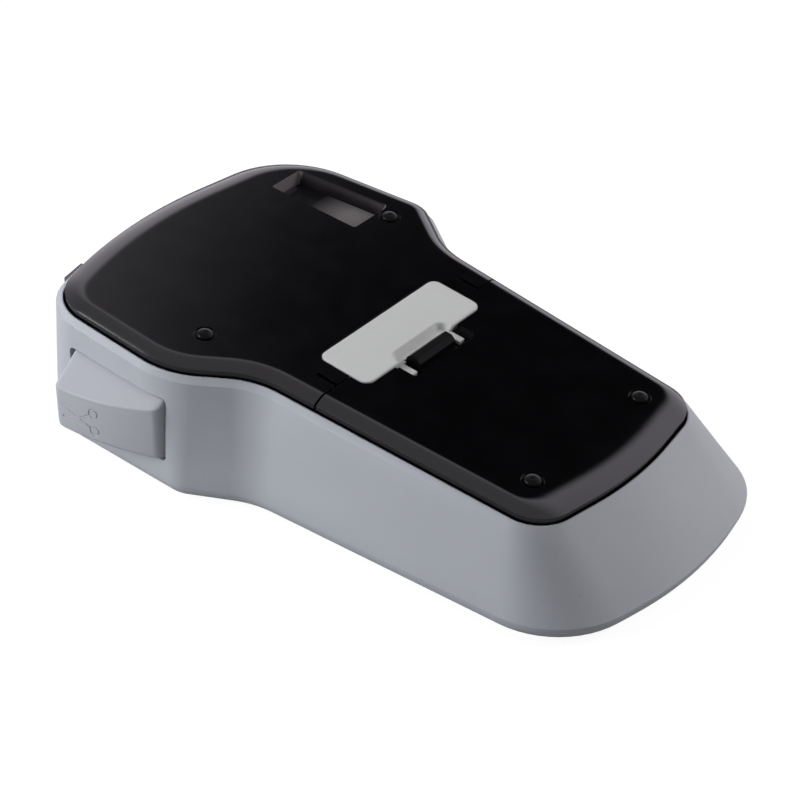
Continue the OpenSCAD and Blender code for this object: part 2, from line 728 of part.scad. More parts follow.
// The part of an outline on one side of a line across the back
function clipped(p, cut, side) = [for (i = [0:len(p) - 1]) let(
    a = p[i],
    b = p[(i + 1) % len(p)],
    a_in = side * (a[1] - cut) > 0,
    b_in = side * (b[1] - cut) > 0
) each concat(a_in ? [a] : [], a_in != b_in ? [a + (b - a) * (cut - a[1]) / (b[1] - a[1])] : [])];
function door_ring(grow, d, cut, side) =
    [for (p = clipped(outline(door_corners, grow), cut, side)) [p[0], p[1], d]];
// Ring of a door's rounded edge
function edge_ring(share, d, cut, side) = let(
    outer = outline(door_corners, 0),
    inner = outline(flat_corners, 0),
    ring = [for (i = [0:len(outer) - 1]) outer[i] + (inner[i] - outer[i]) * share]
) [for (p = clipped(ring, cut, side)) [p[0], p[1], d]];
// Square with rounded corners as an outline
function block_corners(x0, y0, x1, y1, r) = [[x0, y0, r], [x1, y0, r], [x1, y1, r], [x0, y1, r]];
// Value on the curve through three evenly spaced values
function through(a, b, c, t) = a * (1 - t) * (1 - 2 * t) + 4 * b * t * (1 - t) + c * t * (2 * t - 1);

// Places its children on the tilted back
module on_back() {
    translate([0, 0, back_h]) rotate([back_tilt, 0, 0]) children();
}
// Box between two corners
module box(a, b) {
    translate(a) cube(b - a);
}
// Middle of a ring, from which its cap fans out
function middle(ring) = [for (axis = [0:2]) [for (p = ring) 1] * [for (p = ring) p[axis]] / len(ring)];
// Closed skin over rings, capped or looped
module skin(rings, looped = false) {
    n = len(rings[0]);
    m = len(rings);
    quads = [for (i = [0:m - (looped ? 1 : 2)]) for (j = [0:n - 1]) let(
        a = i * n + j,
        b = i * n + (j + 1) % n,
        c = ((i + 1) % m) * n + (j + 1) % n,
        d = ((i + 1) % m) * n + j
    ) each [[a, c, b], [a, d, c]]];
    caps = looped ? [] : [for (j = [0:n - 1]) each [[j, (j + 1) % n, m * n],
        [(m - 1) * n + (j + 1) % n, (m - 1) * n + j, m * n + 1]]];
    middles = looped ? [] : [middle(rings[0]), middle(rings[m - 1])];
    polyhedron(points = concat([for (r = rings) each r], middles), faces = concat(quads, caps));
}
// Prism on an outline of rounded corners
module prism(corners, grow, z0, z1) {
    translate([0, 0, z0]) linear_extrude(z1 - z0) polygon(outline(corners, grow));
}
// Cylinder along X from one end to the other
module rod_x(x0, x1, r) {
    translate([x0, 0, 0]) rotate([0, 90, 0]) cylinder(r = r, h = x1 - x0);
}
// Wire wound into a coil or a cone
module coil(r0, r1, length, turns, wire_r) {
    sides = 6;
    steps = turns * 8;
    rings = [for (i = [0:steps]) let(
        t = i / steps,
        g = 360 * turns * t,
        r = r0 + (r1 - r0) * t,
        rise = atan2(length - 2 * wire_r, 2 * PI * turns * (r0 + r1) / 2)
    ) [for (k = [0:sides - 1]) let(
        w = 360 * k / sides,
        out = r + wire_r * cos(w),
        up = wire_r * sin(w)
    ) [out * cos(g) + up * sin(rise) * sin(g), out * sin(g) - up * sin(rise) * cos(g),
        wire_r + (length - 2 * wire_r) * t + up * cos(rise)]]];
    echo(str("least gap between turns of a coil: ", coil_gap(r0, r1, length, turns, wire_r)));
    skin(rings);
}
// Least gap between neighbouring turns of a coil
function coil_point(r0, r1, length, turns, wire_r, t) = let(r = r0 + (r1 - r0) * t, g = 360 * turns * t)
    [r * cos(g), r * sin(g), wire_r + (length - 2 * wire_r) * t];
function coil_gap(r0, r1, length, turns, wire_r) = min([for (i = [0:8 * (turns - 1)])
    norm(coil_point(r0, r1, length, turns, wire_r, (i + 8) / (8 * turns))
        - coil_point(r0, r1, length, turns, wire_r, i / (8 * turns)))]) - 2 * wire_r;
// Point on a circle at an angle
function turned(r, g) = r * [cos(g), sin(g)];
// Toothed disc, with one tooth on the given bearing
module gear(teeth, at_bearing) {
    r = teeth * pitch_of;
    tip = r + 0.85 * gear_module;
    root = r - 1.2 * gear_module;
    step = 360 / teeth;
    points = [for (i = [0:teeth - 1]) let(g = at_bearing + i * step) each [
        turned(root, g - 0.27 * step), turned(tip, g - 0.09 * step),
        turned(tip, g + 0.09 * step), turned(root, g + 0.27 * step)]];
    linear_extrude(gear_t) polygon(points);
}
// Hollow shell of one door
module door_shell(cut, side) {
    fillet = [for (k = [1:edge_steps]) let(u = k / edge_steps)
        edge_ring(u, -door_edge_h * pow(1 - u, 2), cut, side)];
    inner_cut = cut + side * door_wall;
    skin(concat([
        door_ring(-door_wall, -door_plate, inner_cut, side),
        door_ring(-door_wall, -door_skirt, inner_cut, side),
        door_ring(0, -door_skirt, cut, side), door_ring(0, -door_edge_h, cut, side)], fillet));
}
// Knuckle of a door on its hinge axis
module knuckle(x0, s) {
    translate([0, s, -hinge_depth]) rod_x(x0, x0 + knuckle_w, knuckle_r);
    box([x0, s - knuckle_r, -hinge_depth], [x0 + knuckle_w, s + knuckle_r, -door_plate + eps]);
    box([x0, s - knuckle_r, -hinge_depth - knuckle_r - knuckle_foot],
        [x0 + knuckle_w, s + knuckle_foot, -hinge_depth + eps]);
}
// Pocket in a door's plate over a fixed lug
module lug_pocket(x0, s) {
    translate([0, s, -hinge_depth]) rod_x(x0 - knuckle_gap, x0 + lug_w + knuckle_gap, lug_r + knuckle_gap);
}
// Bore of a knuckle
module knuckle_bore(x0, s) {
    translate([0, s, -hinge_depth]) rod_x(x0 - eps, x0 + knuckle_w + eps, hinge_pin_r + hinge_clear);
}
// Ring recesses of a pair of feet
module foot_recesses(x, s) {
    for (side = [-1, 1])
        translate([side * x, s, -foot_recess]) cylinder(r = foot_ring_r, h = foot_recess + 1);
}
// Pair of domed feet
module foot_pair(x, s) {
    dome_h = foot_proud + 0.4;
    dome_r = (foot_r * foot_r + dome_h * dome_h) / (2 * dome_h);
    for (side = [-1, 1]) translate([side * x, s, 0]) {
        translate([0, 0, -foot_recess]) cylinder(r = foot_r, h = foot_recess - 0.4);
        intersection() {
            translate([0, 0, foot_proud - dome_r]) sphere(r = dome_r);
            translate([0, 0, -0.4]) cylinder(r = foot_r, h = dome_h + 1);
        }
    }
}

// Case walls round the whole part
module rear_case() {
    edge = [for (k = [0:edge_steps]) let(g = 90 * k / edge_steps)
        base_ring(-front_edge_r * (1 - sin(g)), front_edge_r * (1 - cos(g)))];
    rim = [back_ring(rim_out, -rim_depth - rim_slant), back_ring(rim_out - rim_slant, -rim_depth)];
    inner = [back_ring(door_gap, -rim_depth), back_ring(door_gap, -rim_depth - rim_slant - 2),
        base_ring(-case_wall, front_edge_r + 2), base_ring(-front_inset, front_flange_h),
        base_ring(-front_inset, 0)];
    color([0.68, 0.69, 0.72]) difference() {
        skin(concat(edge, rim, inner), looped = true);
        lever_slot();
        box([exit_x0 - exit_gap, exit_in_y - 2, exit_z0 - exit_wall - exit_gap],
            [exit_x1 + exit_gap, end_y(exit_x1) + 10, exit_z1 + exit_wall + exit_gap]);
        translate([0, jack_y, jack_z]) rod_x(jack_x1 - jack_nose_l, jack_x1 + 8, jack_nose_r + 0.3);
    }
}
// Slot of the cutter lever in the left wall
module lever_slot() {
    y0 = lever_y0 - lever_gap;
    y1 = lever_y1 + lever_swing_gap;
    translate([-lever_out1 - 4, 0, 0]) rotate([90, 0, 90]) linear_extrude(lever_out1 + 4 - lever_in + 1.5)
        polygon([[y0, lever_z0 - lever_gap], [y1, lever_z0 - lever_gap], [y1, lever_top1 + lever_gap],
            [y0, lever_top0 + lever_gap]]);
}
// Places of the letter keys
module at_letter_keys() {
    for (i = [0:key_columns - 1]) for (j = [0:key_rows - 1])
        translate([(i - (key_columns - 1) / 2) * key_pitch_x, key_first_y + j * key_pitch_y, 0]) children();
}
// Front panel
module front_cover() {
    color([0.16, 0.16, 0.18]) difference() {
        union() {
            prism(base_corners, -front_inset - cover_gap, 0, cover_t);
            for (p = leg_places) translate([p[0], p[1], cover_t - eps])
                cylinder(r = leg_r, h = boss_top - cover_t + eps);
            for (p = post_places) translate([p[0], p[1], cover_t - eps])
                cylinder(r = post_r, h = board_z - cover_t + eps);
            translate([pivot_x + 6, pivot_y, cover_t - eps])
                cylinder(r = leg_r, h = bracket_z0 - cover_t + eps);
            box([jack_x0 + 1, jack_y - jack_body / 2, cover_t - eps],
                [jack_x1 - jack_nose_l - 2.5, jack_y + jack_body / 2, jack_z - jack_body / 2]);
        }
        at_letter_keys() translate([0, 0, -1]) cylinder(r = key_r + key_gap, h = cover_t + 2);
        for (f = fkey_spots) translate([f[1] * fkey_pitch, fkey_y + f[2] * fkey_pitch, -1])
            cylinder(r = fkey_radius(f[0]) + key_gap, h = cover_t + 2);
        box([-lens_half_w - key_gap, lens_y0 - key_gap, -1],
            [lens_half_w + key_gap, lens_y1 + key_gap, lens_sunk + lens_t]);
        box([-lens_half_w + lens_ledge, lens_y0 + lens_ledge, -1],
            [lens_half_w - lens_ledge, lens_y1 - lens_ledge, cover_t + 1]);
        for (p = leg_places) translate([p[0], p[1], cover_t]) cylinder(r = screw_r, h = boss_top);
        for (p = post_places) translate([p[0], p[1], cover_t]) cylinder(r = screw_r, h = board_z);
    }
}
function fkey_radius(name) = name == "print_key" ? print_key_r : fkey_r;

// Frame inside: tray, bridge, deck, bay and lugs
module inner_frame() {
    color([0.3, 0.3, 0.32]) difference() {
        union() {
            on_back() {
                battery_tray();
                bridge();
                deck();
                cassette_bay();
                for (x = [head_lug_left, head_lug_right]) head_lug(x);
                for (side = [-1, 1]) tail_lug(side * tail_lug_x);
            }
            for (p = leg_places) leg(p);
        }
        for (p = leg_places) translate([p[0], p[1], 0]) {
            cylinder(r = screw_r + screw_clear, h = reach);
            translate([0, 0, boss_top + screw_seat_t]) cylinder(r = screw_head_r + screw_clear, h = reach);
        }
        box([jack_x0 - jack_room, jack_y - jack_half, jack_z - jack_half],
            [jack_x1, jack_y + jack_half, jack_z + jack_half]);
        on_back() {
            translate([platen_x, platen_s, deck_under - 1]) cylinder(r = shaft_r + run_clear, h = deck_t + 2);
            translate([motor_x, motor_s, deck_under - 1]) cylinder(r = motor_shaft_r + 1, h = deck_t + 2);
            translate([idler_at[0], idler_at[1], deck_under - 1]) cylinder(r = shaft_r, h = deck_t + 2);
            translate([takeup_at[0], takeup_at[1], deck_under - 1])
                cylinder(r = shaft_r + run_clear, h = deck_t + 2);
        }
    }
}
// Tray of the batteries, open at its top
module battery_tray() {
    difference() {
        union() {
            box([-bay_half_w - bay_wall, bay_s0 - bay_wall, tray_under],
                [bay_half_w + bay_wall, bay_s1 + bay_wall, tray_top]);
            box([-tray_flange_w, bay_s0 - bay_wall, tray_under],
                [tray_flange_w, bay_s1 + bay_wall, tray_floor]);
        }
        box([-bay_half_w, bay_s0, tray_floor], [bay_half_w, bay_s1, tray_top + 1]);
    }
    box([-bay_half_w, bay_s1, tray_under], [bay_half_w, deck_s0, tray_floor]);
}
// Bridge that carries the tab
module bridge() {
    s0 = tab_s0 + scoop_l;
    box([-tab_half_w, s0, -tab_t - bridge_t], [tab_half_w, tab_s1 - 2, -tab_t]);
    for (side = [-1, 1]) {
        x = side * (tab_half_w - bay_wall / 2);
        box([x - bay_wall / 2, s0, deck_under], [x + bay_wall / 2, tab_s1 - 2, -tab_t - eps]);
    }
}
// Deck that carries the mechanism
module deck() {
    difference() {
        intersection() {
            prism(door_corners, -deck_gap, deck_under, deck_z);
            box([-reach, deck_s0 - 4, deck_under - 1], [reach, head_hinge_s, deck_z + 1]);
        }
        box([-reach, deck_cut_s, deck_under - 1], [deck_cut_x, reach, deck_z + 1]);
        box([-reach, deck_blade_s, deck_under - 1], [deck_blade_x, reach, deck_z + 1]);
    }
}
// Low wall round the cassette
module cassette_bay() {
    gap = cassette_gap;
    difference() {
        box([cassette_x0 - gap - bay_wall, cassette_s0 - gap - bay_wall, deck_z - eps],
            [cassette_x1 + gap + bay_wall, cassette_s1 + gap + bay_wall, tape_mid]);
        box([cassette_x0 - gap, cassette_s0 - gap, deck_z - 1],
            [cassette_x1 + gap, cassette_s1 + gap, tape_mid + 1]);
        box([cassette_x0 - 5, feed_s - 3, deck_z + 1], [cassette_x0 + 5, feed_s + 5, tape_mid + 1]);
    }
}
// Post and lug of the cassette door's hinge
module head_lug(x) {
    difference() {
        union() {
            box([x, head_hinge_s - 3.6, deck_z - eps], [x + lug_w, head_hinge_s - 0.4, -hinge_depth]);
            translate([0, head_hinge_s, -hinge_depth]) rod_x(x, x + lug_w, lug_r);
            box([x, head_hinge_s - 3.6, -hinge_depth - lug_r], [x + lug_w, head_hinge_s, -hinge_depth]);
        }
        translate([0, head_hinge_s, -hinge_depth]) rod_x(x - 1, x + lug_w + 1, hinge_pin_r);
    }
}
// Lug of the battery door's hinge on the tray's end wall
module tail_lug(x) {
    difference() {
        union() {
            box([x - lug_w / 2, tail_hinge_s + 0.4, tray_under],
                [x + lug_w / 2, bay_s0 - bay_wall + eps, -hinge_depth]);
            translate([0, tail_hinge_s, -hinge_depth]) rod_x(x - lug_w / 2, x + lug_w / 2, lug_r);
            box([x - lug_w / 2, tail_hinge_s, -hinge_depth - lug_r],
                [x + lug_w / 2, tail_hinge_s + 3, -hinge_depth]);
        }
        translate([0, tail_hinge_s, -hinge_depth]) rod_x(x - lug_w, x + lug_w, hinge_pin_r);
    }
}
// Leg of the frame
module leg(p) {
    under = p[1] < bay_s1 ? tray_under : deck_under;
    top = back_h + p[1] * tan(back_tilt) + under / cos(back_tilt) + 1;
    translate([p[0], p[1], boss_top]) cylinder(r = leg_r, h = top - boss_top);
}

// Door over the cassette
module cassette_door() {
    color([0.09, 0.09, 0.1]) on_back() difference() {
        union() {
            door_shell(cassette_door_s0, 1);
            skin([flat_ring(window_corners, window_wall - window_lean, -window_depth - eps),
                flat_ring(window_corners, window_wall, -door_plate + eps)]);
            for (x = [head_lug_left, head_lug_right]) knuckle(x + lug_w + knuckle_gap, head_hinge_s);
        }
        skin([flat_ring(window_corners, -window_lean * 1.25, -window_depth - 1),
            flat_ring(window_corners, 0.1, 0.4)]);
        prism(block_corners(-tab_half_w, tab_s0, tab_half_w, tab_s1, tab_r), tab_gap, -door_skirt - 1, 1);
        for (side = [-1, 1])
            box([side * slit_x - slit_w / 2, cassette_door_s0 - 1, -door_skirt - 1],
                [side * slit_x + slit_w / 2, cassette_door_s0 + slit_l, 1]);
        foot_recesses(foot_head_x, foot_head_s);
        for (x = [head_lug_left, head_lug_right]) {
            knuckle_bore(x + lug_w + knuckle_gap, head_hinge_s);
            lug_pocket(x, head_hinge_s);
        }
    }
}
// Where a knuckle of the battery door begins, on one side
function tail_knuckle_x(side) = side > 0 ? tail_lug_x - lug_w / 2 - knuckle_gap - knuckle_w
    : lug_w / 2 + knuckle_gap - tail_lug_x;
// Door over the batteries
module battery_door() {
    color([0.04, 0.04, 0.045]) on_back() difference() {
        union() {
            door_shell(door_s1, -1);
            for (side = [-1, 1]) {
                knuckle(tail_knuckle_x(side), tail_hinge_s);
                mirror([side < 0 ? 1 : 0, 0, 0]) {
                    box([rail_x, latch_base_s0, rail_low],
                        [rail_x + rail_t, latch_room_s0, -door_plate + eps]);
                    box([rail_x - rail_lip, latch_base_s0, rail_low],
                        [rail_x + rail_t, latch_room_s0, rail_low + 1]);
                }
            }
        }
        prism(block_corners(-tab_half_w, tab_s0, tab_half_w, tab_s1, tab_r), tab_gap, -door_skirt - 1, 1);
        prism(block_corners(-recess_half_w, latch_room_s0, recess_half_w, tab_s0 + 2 * recess_r, recess_r), 0,
            -door_skirt - 1, 1);
        foot_recesses(foot_tail_x, foot_tail_s);
        for (side = [-1, 1]) {
            knuckle_bore(tail_knuckle_x(side), tail_hinge_s);
            lug_pocket(side * tail_lug_x - lug_w / 2, tail_hinge_s);
        }
    }
}
// Latch of the battery door
module battery_latch() {
    low = -door_plate - latch_base_t - 0.2;
    c = latch_chamfer;
    color([0.03, 0.03, 0.035]) on_back() {
        difference() {
            box([-latch_half_w, latch_s0, low], [latch_half_w, latch_s1, latch_proud]);
            for (s = [latch_s0, latch_s1]) translate([-reach / 2, s, latch_proud]) rotate([45, 0, 0])
                translate([0, -c, -c]) cube([reach, 2 * c, 2 * c]);
        }
        box([-latch_half_w, latch_base_s0 + latch_travel + 0.4, low],
            [latch_half_w, latch_s0 + eps, low + latch_base_t]);
    }
}
// Light tab between the doors
module centre_tab() {
    slot_x = latch_half_w + latch_gap;
    color([0.72, 0.73, 0.74]) on_back() {
        difference() {
            prism(block_corners(-tab_half_w, tab_s0, tab_half_w, tab_s1, tab_r), 0, -tab_t, tab_proud);
            prism(block_corners(-scoop_half_w, tab_s0 - 10, scoop_half_w, tab_s0 + scoop_l, 2.5),
                0, -scoop_depth, 2);
            box([-slot_x, tab_s0 - 1, -tab_t - 1], [slot_x, tab_s0 + tab_slot_l, 1]);
        }
        for (side = [-1, 1])
            box([side > 0 ? prong_x : -scoop_half_w, tab_s0 - prong_l, -tab_t],
                [side > 0 ? scoop_half_w : -prong_x, tab_s0 + eps, -scoop_depth]);
    }
}
// Clear pane under the window's sunk frame
module window_pane() {
    color([0.1, 0.1, 0.12]) on_back()
        prism(window_corners, window_wall - window_lean - 0.1,
            -window_depth - eps - pane_t, -window_depth - eps);
}
// Domed feet of the cassette door
module cassette_door_feet() {
    color([0.03, 0.03, 0.03]) on_back() foot_pair(foot_head_x, foot_head_s);
}
// Domed feet of the battery door
module battery_door_feet() {
    color([0.03, 0.03, 0.03]) on_back() foot_pair(foot_tail_x, foot_tail_s);
}

// Section of the lever's wedge, at a share of its length
function lever_section(t) = let(
    y = lever_y0 + (lever_y1 - lever_y0) * t,
    out = through(lever_out0, lever_out_mid, lever_out1, t),
    edge = through(lever_edge0, lever_edge_mid, lever_edge1, t),
    top = lever_top0 + (lever_top1 - lever_top0) * t
) [for (p = [[-lever_in, lever_z0], [-out + 1.6, lever_z0], [-out + 0.4, lever_z0 + 0.7],
    [-out, lever_z0 + 2],
    [-out, edge - 1], [-out + 0.7, edge], [-lever_in - 2.4, top], [-lever_in, top]]) [p[0], y, p[1]]];
// Cutter lever and the arm of its blade
module cutter_lever() {
    wedge_steps = 6;
    color([0.7, 0.71, 0.74]) difference() {
        union() {
            skin([for (k = [0:wedge_steps]) lever_section(k / wedge_steps)]);
            for (z = [web_z0, web_z1]) {
                translate([pivot_x, pivot_y, z]) cylinder(r = barrel_r, h = web_h);
                box([-lever_in - 0.5, pivot_y - barrel_r, z], [pivot_x, pivot_y + barrel_r, z + web_h]);
            }
            translate([pivot_x, pivot_y, web_z0 + 0.5]) cylinder(r = pivot_r + sleeve_t, h = web_z1 - web_z0);
            translate([0, 0, arm_z0]) linear_extrude(arm_z1 - arm_z0)
                polygon([[-lever_in - 1, arm_y0], [-lever_in + arm_t, arm_y0], [blade_x0 + 2, blade_y - 4],
                    [blade_x1 - 2, blade_y - 2], [blade_x1 - 2, blade_y], [blade_x0, blade_y],
                    [-lever_in - 1, lever_y1 - 1]]);
        }
        translate([pivot_x, pivot_y, 0]) cylinder(r = pivot_r + run_clear, h = reach);
    }
}
// Pin of the cutter lever
module cutter_pivot_pin() {
    color(steel) translate([pivot_x, pivot_y, bracket_z0])
        cylinder(r = pivot_r, h = bracket_z1 - bracket_z0 + 1);
}
// Spring that turns the lever back
module cutter_return_spring() {
    z0 = web_z0 + web_h + 0.5;
    r = pivot_r + sleeve_t + spring_gap + return_wire_r;
    color([0.78, 0.78, 0.8]) translate([pivot_x, pivot_y, z0])
        coil(r, r, web_z1 - 0.5 - z0, return_turns, return_wire_r);
}
// Blade that crosses the tape
module cutter_blade() {
    color([0.8, 0.81, 0.83]) translate([0, blade_y + blade_t, arm_z0 + 1]) rotate([90, 0, 0])
        linear_extrude(blade_t) polygon([[blade_x0 + 1, 0], [blade_x1 - 1, 0], [blade_x1, arm_h],
            [blade_x1, arm_h + blade_h - 3], [blade_x0 + 2, arm_h + blade_h],
            [blade_x0 + 1, arm_h + blade_h]]);
}
// Bracket that holds the cutter's pin
module cutter_bracket() {
    half_l = 7;
    y0 = pivot_y - half_l;
    y1 = pivot_y + half_l;
    shelf_t = 2.4;
    color([0.3, 0.3, 0.32]) difference() {
        union() {
            box([bracket_x1 - bracket_plate_t, y0, bracket_z0], [bracket_x1, y1, bracket_z1]);
            for (z = [bracket_z0, bracket_z1 - shelf_t])
                box([pivot_x - 2.6, y0, z], [bracket_x1, y1, z + shelf_t]);
        }
        translate([pivot_x, pivot_y, 0]) cylinder(r = pivot_r, h = reach);
    }
}
// Mouth of the tape exit
module tape_exit_mouth() {
    x0 = exit_x0 - exit_flange;
    x1 = exit_x1 + exit_flange;
    color([0.2, 0.2, 0.22]) difference() {
        union() {
            box([exit_x0, exit_in_y, exit_z0 - exit_wall],
                [exit_x1, end_y(exit_x1) + exit_gap + eps, exit_z1 + exit_wall]);
            translate([0, 0, exit_z0 - exit_wall - exit_flange])
                linear_extrude(exit_collar_z - exit_z0 + exit_wall + exit_flange)
                    polygon([for (x = [x0, x1]) [x, end_y(x) + exit_gap],
                        for (x = [x1, x0]) [x, end_y(x) + exit_gap + exit_proud]]);
        }
        box([exit_x0 + exit_wall, exit_in_y - 1, exit_z0],
            [exit_x1 - exit_wall, end_y(exit_x1) + 10, exit_z1]);
    }
}

// Heated print head against the platen
module print_head() {
    color([0.85, 0.83, 0.76]) on_back()
        box([print_face_x - print_head_t, platen_s - print_head_l / 2, tape_mid - tape_w / 2 - 1],
            [print_face_x, platen_s + print_head_l / 2, tape_mid + tape_w / 2 + 1]);
}
// Bracket of the print head
module print_head_bracket() {
    x1 = print_face_x - print_head_t;
    half_l = print_head_l / 2 + 0.5;
    top = tape_mid + tape_w / 2 + 3.5;
    color([0.62, 0.63, 0.65]) on_back() difference() {
        union() {
            box([x1 - bracket_t, platen_s - half_l, deck_z], [x1, platen_s + half_l, top]);
            box([x1 - eps, platen_s - half_l, top - 1.5], [platen_x + shaft_r + 2, platen_s + half_l, top]);
        }
        translate([platen_x, platen_s, top - 3]) cylinder(r = shaft_r + run_clear, h = 5);
    }
}
// Rubber sleeve of the platen
module platen_roller() {
    color([0.12, 0.12, 0.12]) on_back()
        translate([platen_x, platen_s, tape_mid - tape_w / 2 - 0.8]) difference() {
        cylinder(r = platen_r, h = tape_w + 1.6);
        translate([0, 0, -1]) cylinder(r = shaft_r, h = tape_w + 4);
    }
}
// Shaft of the platen
module platen_shaft() {
    low = gear_top - gear_t;
    color(steel) on_back() translate([platen_x, platen_s, low])
        cylinder(r = shaft_r, h = tape_mid + tape_w / 2 + 3.5 - low);
}
// Gear of the platen, under the deck
module platen_gear() {
    color(gear_white) on_back() translate([platen_x, platen_s, gear_top - gear_t]) difference() {
        gear(platen_teeth, bearing(platen_at, idler_at) + (mesh_lead(platen_at) + 0.5) * 360 / platen_teeth);
        translate([0, 0, -1]) cylinder(r = shaft_r, h = gear_t + 2);
    }
}
// Motor, standing on the deck
module drive_motor() {
    color([0.7, 0.7, 0.72]) on_back() translate([motor_x, motor_s, deck_z]) difference() {
        union() {
            cylinder(r = motor_r, h = motor_l);
            translate([0, 0, motor_l - eps]) cylinder(r = 3, h = 1.2);
        }
        translate([0, 0, -1]) cylinder(r = motor_shaft_r + run_clear, h = motor_l - 2);
    }
}
// Shaft of the motor, down through the deck
module motor_shaft() {
    low = gear_top - gear_t;
    color(steel) on_back() translate([motor_x, motor_s, low])
        cylinder(r = motor_shaft_r, h = deck_z + motor_l - 4 - low);
}
// Pinion on the motor's shaft
module motor_pinion() {
    color([0.85, 0.75, 0.4]) on_back() translate([motor_x, motor_s, gear_top - gear_t]) difference() {
        gear(pinion_teeth, bearing(motor_at, idler_at) + 180 / pinion_teeth);
        translate([0, 0, -1]) cylinder(r = motor_shaft_r, h = gear_t + 2);
    }
}
// Share of a tooth by which the idler lags another gear
function mesh_lead(at) =
    let(teeth = (bearing(idler_at, at) - bearing(idler_at, motor_at)) * idler_teeth / 360)
    teeth - floor(teeth);
// Idler between the motor and the platen
module idler_gear() {
    color(gear_white) on_back() translate([idler_at[0], idler_at[1], gear_top - gear_t]) difference() {
        gear(idler_teeth, bearing(idler_at, motor_at));
        translate([0, 0, -1]) cylinder(r = shaft_r + run_clear, h = gear_t + 2);
    }
}
// Pin of the idler, pressed into the deck
module idler_pin() {
    low = gear_top - gear_t - 0.4;
    color(steel) on_back() translate([idler_at[0], idler_at[1], 0]) {
        translate([0, 0, low]) cylinder(r = shaft_r, h = deck_z - low);
        translate([0, 0, low - 0.8]) cylinder(r = shaft_r + 1, h = 0.8);
    }
}
// Gear and spindle that turn the used ribbon
module takeup_spindle() {
    low = gear_top - gear_t;
    color(gear_white) on_back() translate([takeup_at[0], takeup_at[1], low]) {
        gear(takeup_teeth, bearing(takeup_at, idler_at) + (mesh_lead(takeup_at) + 0.5) * 360 / takeup_teeth);
        cylinder(r = shaft_r, h = cassette_top - cassette_wall - 2 - low);
    }
}

// Lower half of the tape cassette
module cassette_shell() {
    w = cassette_wall;
    post_h = cassette_top - w - 0.5 - cassette_floor;
    color(cassette_white) on_back() {
        difference() {
            prism(cassette_corners, 0, cassette_floor, cassette_top - w);
            prism(cassette_corners, -w, cassette_floor + w, cassette_top);
            box([cassette_x0 - 1, feed_s - 2, tape_mid - tape_w / 2 - 0.3],
                [cassette_x0 + w + 1, feed_s + 4, cassette_top]);
            translate([takeup_at[0], takeup_at[1], cassette_floor - 1])
                cylinder(r = shaft_r + 0.5, h = w + 2);
        }
        for (p = [roll_at, ribbon_at]) translate([p[0], p[1], cassette_floor + eps])
            cylinder(r = core_bore_r - run_clear, h = post_h - eps);
    }
}
// Upper half of the tape cassette
module cassette_lid() {
    color(cassette_white) on_back() difference() {
        prism(cassette_corners, 0, cassette_top - cassette_wall, cassette_top);
        translate([roll_at[0], roll_at[1], cassette_top - 3]) cylinder(r = core_bore_r + 1, h = 5);
    }
}
// Ring-shaped roll on a post of the cassette
module roll_on(p, r, bore) {
    on_back() translate([p[0], p[1], roll_low]) difference() {
        cylinder(r = r, h = roll_h);
        translate([0, 0, -1]) cylinder(r = bore, h = roll_h + 2);
    }
}
// Roll of label tape
module tape_roll() {
    color([0.95, 0.95, 0.93]) roll_on(roll_at, roll_r, core_bore_r);
}
// Roll of fresh print ribbon
module ribbon_roll() {
    color([0.15, 0.15, 0.16]) roll_on(ribbon_at, ribbon_r, core_bore_r);
}
// Roll of used print ribbon
module used_ribbon_roll() {
    color([0.2, 0.2, 0.22]) roll_on(takeup_at, used_ribbon_r, shaft_r);
}
// Label tape, cut off before the blade
module label_tape() {
    color([0.96, 0.96, 0.95]) on_back() translate([0, 0, tape_mid - tape_w / 2]) linear_extrude(tape_w)
        polygon([[cassette_x0 + 2, feed_s], [exit_x - tape_t / 2, bend_s],
            [exit_x - tape_t / 2, bend_s + tape_l],
            [exit_x + tape_t / 2, bend_s + tape_l], [exit_x + tape_t / 2, bend_s + tape_t],
            [cassette_x0 + 2, feed_s + tape_t]]);
}

// Batteries side by side
module batteries() {
    color([0.25, 0.3, 0.35]) on_back() for (i = [0:cell_count - 1]) {
        flip = i % 2 == 1;
        x = (i - (cell_count - 1) / 2) * cell_pitch;
        s0 = flip ? bay_s0 + contact_t + 0.3 + button_h : bay_s0 + contact_t + 0.3 + spring_l;
        translate([x, s0, -cell_depth]) rotate([-90, 0, 0]) {
            cylinder(r = cell_r, h = cell_l);
            translate([0, 0, flip ? -button_h : cell_l - eps])
                cylinder(r = button_r, h = button_h + (flip ? eps : 0));
        }
    }
}
// Cone springs of the batteries
module battery_springs() {
    color([0.8, 0.8, 0.82]) on_back() for (i = [0:cell_count - 1]) {
        flip = i % 2 == 1;
        x = (i - (cell_count - 1) / 2) * cell_pitch;
        s = flip ? bay_s1 - contact_t : bay_s0 + contact_t;
        translate([x, s, -cell_depth]) rotate([flip ? 90 : -90, 0, 0])
            coil(spring_r, spring_r - 1.4, spring_l, spring_turns, spring_wire_r);
    }
}
// Sprung plates at both ends of the bay
module battery_contacts() {
    color([0.8, 0.8, 0.82]) on_back() for (i = [0:cell_count - 1]) for (end = [0, 1]) {
        x = (i - (cell_count - 1) / 2) * cell_pitch;
        s = end == 0 ? bay_s0 : bay_s1 - contact_t;
        box([x - cell_r + 0.6, s, tray_floor + 0.4], [x + cell_r - 0.6, s + contact_t, tray_top - 1]);
    }
}

// Circuit board on its posts
module main_board() {
    color([0.1, 0.35, 0.2]) difference() {
        box([-board_half_w, board_y0, board_z], [board_half_w, board_y1, board_z + board_t]);
        for (p = post_places) translate([p[0], p[1], 0]) cylinder(r = screw_r + screw_clear, h = reach);
    }
}
